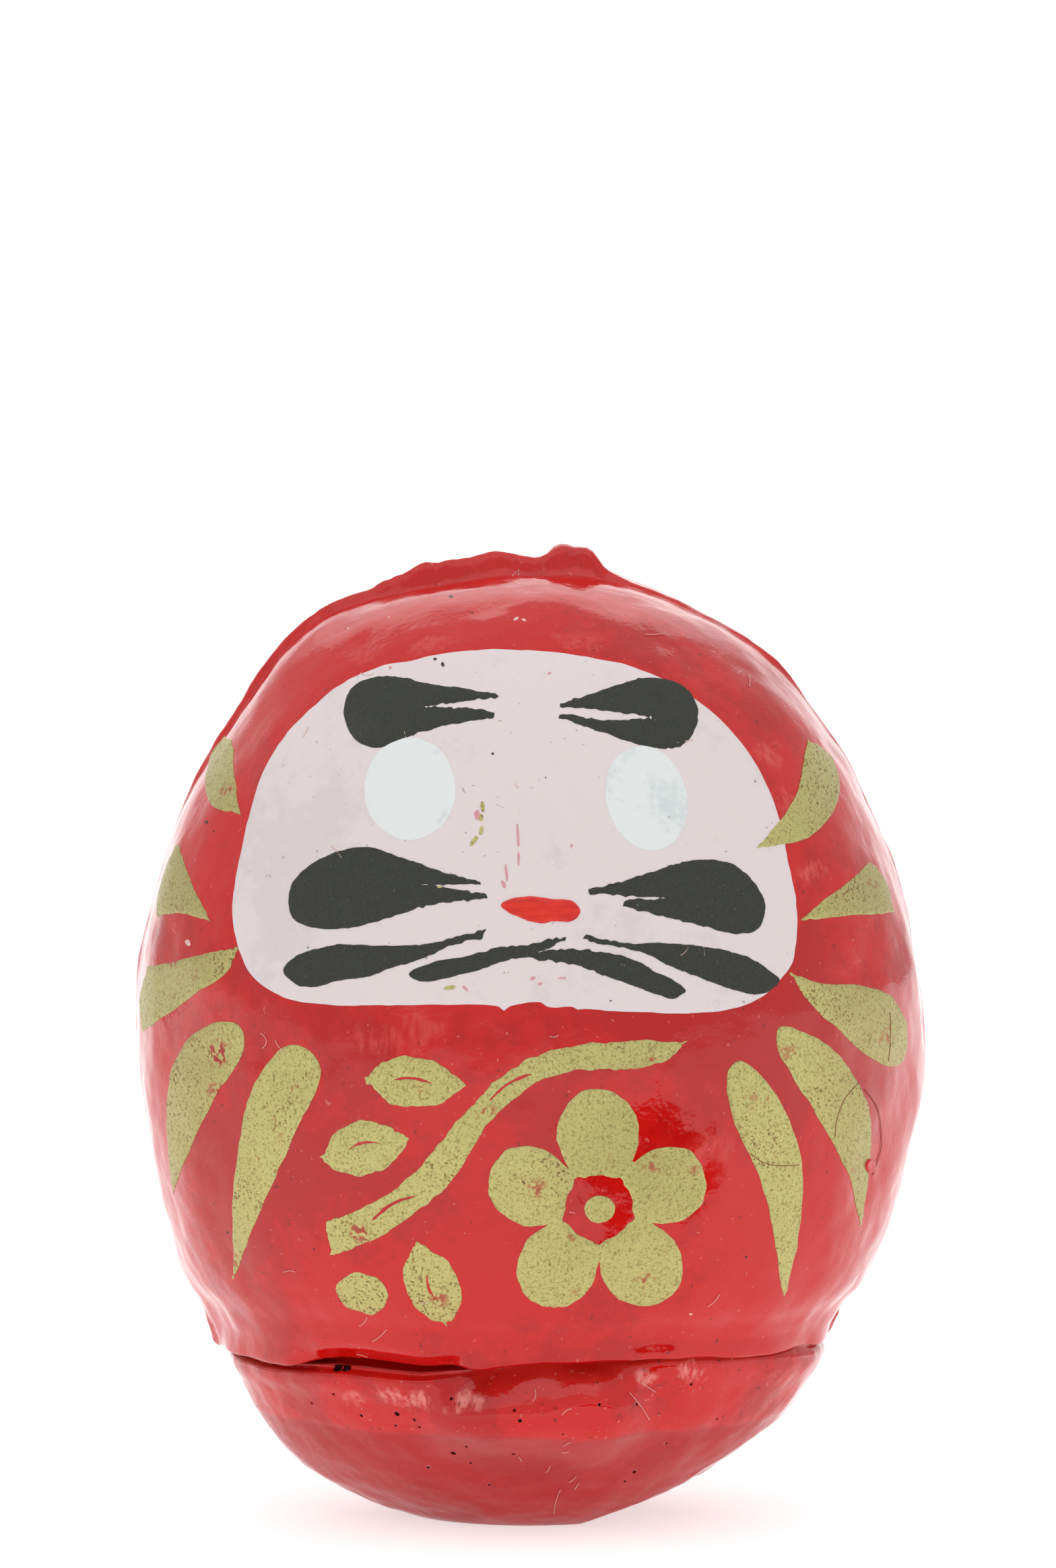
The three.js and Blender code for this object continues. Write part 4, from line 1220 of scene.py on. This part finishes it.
smears = {
    "faceFlecksGold": (goldPaint, "gold_paint", 1.6, [
        (-3.35, 55.7, 0.16, 0.34, 0.1), (-3.5, 54.9, 0.2, 0.22, 0), (-3.45, 54.0, 0.14, 0.3, -0.3),
        (-4.0, 53.2, 0.16, 0.42, -0.7), (-5.8, 42.55, 0.42, 0.16, 0.1), (-6.5, 49.8, 0.22, 0.12, 0.3),
        (-6.0, 50.2, 0.16, 0.1, 0), (-6.2, 49.4, 0.12, 0.14, 0)]),
    "faceFlecksPink": (pinkSmear, "mouth_paint", 1.6, [
        (-3.75, 55.1, 0.2, 0.34, 0.2), (-0.75, 53.7, 0.08, 0.8, 0.05), (-0.7, 52.0, 0.07, 0.5, 0),
        (-1.6, 51.0, 0.1, 0.6, 0.1), (-1.8, 50.1, 0.14, 0.3, 0.4), (0.35, 43.3, 0.22, 0.12, 0.6),
        (0.9, 42.9, 0.2, 0.1, 0.2), (-4.6, 42.5, 0.3, 0.08, -0.8), (2.5, 43.3, 0.3, 0.06, 0),
        (1.6, 65.2, 0.16, 0.08, 0.3), (-10.3, 65.6, 0.12, 0.1, 0), (3.2, 52.9, 0.1, 0.14, 0)]),
    "faceFlecksDark": (inkPaint, "black_ink", 1.6, [
        (-2.6, 59.5, 0.1, 0.1, 0), (-6.9, 66.1, 0.14, 0.1, 0), (-6.3, 65.7, 0.1, 0.16, 0.4),
        (-8.2, 58.9, 0.09, 0.09, 0), (1.3, 57.8, 0.07, 0.07, 0), (16.9, 57.2, 0.07, 0.08, 0),
        (-16.2, 45.2, 0.08, 0.07, 0), (6.1, 41.6, 0.1, 0.06, 0)]),
    "bodyFlecksPale": (lintWhite, "face_paint", 0, [
        (-25.4, 44.9, 0.2, 0.22, 0), (-0.9, 69.3, 0.24, 0.1, 0.5), (-0.3, 69.2, 0.2, 0.1, -0.4),
        (-10.4, 68.9, 0.08, 0.08, 0), (-13.4, 67.9, 0.1, 0.1, 0), (16.6, 49.0, 0.14, 0.08, 0.4),
        (-17.6, 30.3, 0.1, 0.1, 0), (12.2, 17.6, 0.14, 0.1, 0)]),
    # dark discs: painted shade of small pits in the shell's lacquer
    "bodyPits": (pinholeDark, "red_lacquered_paper", 0, [
        (-5.8, 70.6, 0.2, 0.12, 0.2), (-4.2, 69.6, 0.1, 0.08, 0), (-24.2, 53.8, 0.14, 0.1, 0.2),
        (-23.6, 53.2, 0.08, 0.1, 0), (-20.3, 28.6, 0.12, 0.1, 0), (-22.6, 23.2, 0.1, 0.12, 0),
        (16.2, 22.0, 0.12, 0.1, 0), (-15.9, 22.6, 0.1, 0.1, 0)]),
}
extras = {}
for order, (name, (material, slot, level, spots)) in enumerate(smears.items()):
    loops = [roughened(oval(*spot), 0.28 * min(spot[2:4]) + 0.01, 0.25, 0, 1, 130 + 20 * order + i)
             for i, spot in enumerate(spots)]
    extras[name] = (makeFilm(name, loops, material, level, coat=0.02), slot)
blister = roughened(oval(26.0, 27.9, 0.4, 0.6, 0.2), 0.05, 0.8, 0, 1, 240)
extras["stripeBlister"] = (makeFilm("stripeBlister", [blister], shellLacquer, 1, coat=0.16), "red_lacquered_paper")
print("flecks and smears laid")

# Lint fibres and hairline scratches

lint = {
    "radius": 0.022, "sides": 5, "lift": 0.09, "segment": 0.14, "scattered": 28, "seed": 12, "lowest": 1.2,
    # x, z, heading in degrees, length and bend of the fibres that lie on the front
    "placed": [
        (7.6, 11.7, -50, 3.1, 0.1), (3.7, 3.6, -120, 2.3, 1.0), (0.4, 11.2, 40, 0.9, 1.2), (2.5, 10.3, 70, 0.8, -1.0),
        (1.8, 5.2, 20, 0.7, 1.3), (4.4, 4.3, 10, 0.8, 1.0), (5.3, 3.6, 60, 0.6, 0.5), (2.9, 7.1, -30, 0.6, 1.2),
        (-0.6, 6.2, 100, 0.5, 0.6), (8.6, 12.4, -35, 1.5, 0.1), (8.8, 68.0, -8, 1.5, 0.2),
        (-12.6, 65.2, -40, 1.1, 1.2), (16.6, 64.0, 60, 0.9, 0.8), (-19.6, 37.6, 20, 1.4, 2.4),
        (-18.6, 38.3, -80, 1.2, 1.0), (13.4, 18.2, 35, 1.3, 0.5), (-1.2, 72.1, 50, 0.9, 0.3),
        (-0.6, 72.2, 140, 0.7, 0.3), (11.2, 44.8, 20, 0.9, 0.8), (-8.0, 19.0, -20, 0.9, 1.0),
    ],
}
hairlines = {
    "radius": 0.026, "lift": 0.06, "step": 0.2,
    "paths": [
        [(24.8, 34.6), (23.6, 33.4), (23.1, 32), (23.0, 30.4)],
        [(25.2, 34.0), (26.2, 32.6), (26.8, 30.8), (26.9, 29), (26.2, 26.9)],
        [(16.5, 29.9), (17.4, 29.2), (18.5, 28.8), (20.5, 28.7)], [(27.2, 39.5), (27.3, 37.6), (27.2, 35.6)],
    ],
}


def makeFibreTree():  # sweeps a round thread along lines that lie on the surface
    tree, start, end = newShapeTree("sweptFibres", ("Radius", "Float", 0.00002), ("Sides", "Int", 5))
    line = addNode(tree, "GeometryNodeMeshToCurve", {"Mesh": start["Geometry"]})
    ring = addNode(tree, "GeometryNodeCurvePrimitiveCircle", {"Resolution": start["Sides"], "Radius": start["Radius"]})
    swept = addNode(tree, "GeometryNodeCurveToMesh", {
        "Curve": line.outputs["Curve"], "Profile Curve": ring.outputs["Curve"], "Fill Caps": True})
    return endTree(tree, start, end, swept.outputs["Mesh"])


def makeBubbleTree():  # a raised ring with a dimple at every point, facing out
    tree, start, end = newShapeTree("raisedBubbles", ("Wall", "Float", 0.0001), ("Steps", "Int", 18))
    ring = addNode(tree, "GeometryNodeCurvePrimitiveCircle", {"Resolution": start["Steps"], "Radius": 1 * mm})
    tube = addNode(tree, "GeometryNodeCurvePrimitiveCircle", {"Resolution": 6, "Radius": start["Wall"]})
    rim = addNode(tree, "GeometryNodeCurveToMesh", {
        "Curve": ring.outputs["Curve"], "Profile Curve": tube.outputs["Curve"]})
    facing = addNode(tree, "GeometryNodeInputNamedAttribute", {"Name": "facing"}, data_type="FLOAT_VECTOR")
    reach = addNode(tree, "GeometryNodeInputNamedAttribute", {"Name": "reach"}, data_type="FLOAT")
    turned = addNode(tree, "FunctionNodeAlignRotationToVector", {"Vector": facing.outputs[0]}, axis="Z")
    points = addNode(tree, "GeometryNodeMeshToPoints", {"Mesh": start["Geometry"]})
    placed = addNode(tree, "GeometryNodeInstanceOnPoints", {
        "Points": points.outputs["Points"], "Instance": rim.outputs["Mesh"], "Rotation": turned.outputs["Rotation"],
        "Scale": reach.outputs[0]})
    return endTree(tree, start, end, placed.outputs["Instances"])


fibreTree = makeFibreTree()


def onBody(x, z, back=False):  # a point of the body's real surface and the way out there
    if z < 14.5:  # below the lip
        half = casting["rim"] * 1.02
        y = math.sqrt(max(half ** 2 - x ** 2, 0.01)) * casting["depthRatio"] * (1 if back else -1)
        toAxis = Vector((-x, -y, 0)).normalized()
        return settleOn(bodySurface, Vector((x, y, z)) - toAxis * 20, toAxis)
    ideal = rolled(unrolled(np.array([[x, z]])))
    if back:
        ideal[0, 1] *= -1
    out = Vector(eggNormal(ideal)[0])
    return settleOn(bodySurface, Vector(ideal[0]) + out * 5, -out)[0], out


def layLines(name, lines, look, material):  # lines of points on the surface become swept threads
    points, edges = [], []
    for line in lines:
        first = len(points)
        for spot, normal in (onBody(*place) for place in line):
            if spot is not None:
                points.append(tuple((spot + normal * look["lift"]) * mm))
        edges += [(i, i + 1) for i in range(first, len(points) - 1)]
    mesh = bpy.data.meshes.new(name)
    mesh.from_pydata(points, edges, [])
    threads = applyTree(linked(name, mesh), fibreTree, {
        "Radius": look["radius"] * mm, "Sides": lint["sides"], "Material": material})
    threads.data.shade_smooth()
    outwards(threads)
    return threads


def fibreLine(x, z, heading, length, bend, back=False):
    steps = max(6, round(length / lint["segment"]))
    turn = math.radians(heading)
    line = []
    for _ in range(steps + 1):
        line.append((x, z, back))
        turn += bend / steps
        x += math.cos(turn) * length / steps
        z += math.sin(turn) * length / steps
    return line


random = np.random.default_rng(lint["seed"])
fibres = [fibreLine(*fibre) for fibre in lint["placed"]]
for _ in range(lint["scattered"]):
    x, z = random.uniform(-22, 22), random.uniform(5, 66)
    widest = 0.8 * halfWidthAt(np.array([z]))[0]
    heading, length, bend = random.uniform(0, 360), random.uniform(0.4, 1.5), random.normal(0, 1.2)
    fibres.append(fibreLine(float(np.clip(x, -widest, widest)), z, heading, length, bend, bool(random.random() < 0.6)))
fibres = [line for line in fibres if min(place[1] for place in line) > lint["lowest"]]
extras["lintFibres"] = (layLines("lintFibres", fibres, lint, lintWhite), "face_paint")
hairs = [[(float(x), float(z)) for x, z in smoothCurve(path, step=hairlines["step"])] for path in hairlines["paths"]]
extras["hairlines"] = (layLines("hairlines", hairs, hairlines, wornRed), "red_lacquered_paper")

spots = [onBody(x, z) for x, z, _ in bubbles["places"]]
mesh = bpy.data.meshes.new("bubbleRims")
mesh.from_pydata([tuple((spot - normal * bubbles["sunk"]) * mm) for spot, normal in spots], [], [])
storeVectors(mesh, "facing", [normal for _, normal in spots])
mesh.attributes.new("reach", "FLOAT", "POINT").data.foreach_set("value", [reach for _, _, reach in bubbles["places"]])
rims = applyTree(linked("bubbleRims", mesh), makeBubbleTree(), {"Wall": bubbles["wall"] * mm, "Material": baseLacquer})
rims.data.shade_smooth()
outwards(rims)
extras["bubbleRims"] = (rims, "red_lacquered_clay")
print("fibres, hairlines and bubbles laid")

# Riding, and the nodes that each piece stands for; the slot named beside each piece is not used here

standsFor = {
    frontShell: ("front_shell", "red_lacquered_paper"),
    backShell: ("back_shell", "red_lacquered_paper"),
    base: ("base_weight", "red_lacquered_clay"),
}
paintSlots = {"facePaint": "face_paint", "eyePaint": "eye_paint", "inkPaint": "black_ink", "mouthPaint": "mouth_paint",
              "goldPaint": "gold_paint"}


def nodeName(name):  # stripeLeft1 is the node stripe_left_1
    return "".join("_" + c.lower() if c.isupper() or c.isdigit() else c for c in name)


for name, piece in pieces.items():
    standsFor[piece] = (nodeName(name), paintSlots[piece.data.materials[0].name])
for piece, (node, slot) in standsFor.items():
    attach(piece, "root")
    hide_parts(node)
for piece, slot in extras.values():
    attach(piece, "root")

# Stage


def stagePlane(name, centre, half, material):  # in metres
    x, y, z = np.array(centre) / mm
    across, deep = np.array(half) / mm
    corners = [(x + right * across, y + far * deep, z) for right, far in ((-1, -1), (1, -1), (1, 1), (-1, 1))]
    plane = makeMesh(name, corners, [(0, 1, 2, 3)], [material])
    return plane


def floorMaterial():
    material, tree, shader = newMaterial("paleFloor")
    rays = tree.nodes.new("ShaderNodeLightPath").outputs
    seen = rays["Is Camera Ray"]
    place = coordinates(tree)
    away = addNode(tree, "ShaderNodeVectorMath", {0: place}, operation="LENGTH").outputs["Value"]
    under = mapped(tree, away, *studio["underReach"], studio["underGlow"], 0.0)
    mirrored = mapped(tree, split(tree, place, "Y"), *studio["glossReach"], *studio["glossGlow"])
    unseen = plus(tree, times(tree, rays["Is Diffuse Ray"], under), times(tree, rays["Is Glossy Ray"], mirrored))
    feed(tree, shader["Base Color"], mixed(tree, seen, studio["floor"], studio["floorSeen"]))
    feed(tree, shader["Emission Strength"], plus(tree, times(tree, seen, studio["floorGlow"]), unseen))
    shader["Emission Color"].default_value = (1, 1, 1, 1)
    shader["Roughness"].default_value = 0.9
    return material


stagePlane("floor", (0, 0, 0), (4, 4), floorMaterial())
darkScreen, _, screenShader = newMaterial("darkScreen")
screenShader["Base Color"].default_value = (0.02, 0.02, 0.02, 1)
screenShader["Roughness"].default_value = 1.0
screen = stagePlane("screenLow", *studio["screenLow"], darkScreen)
screen.visible_camera = screen.visible_diffuse = screen.visible_shadow = False
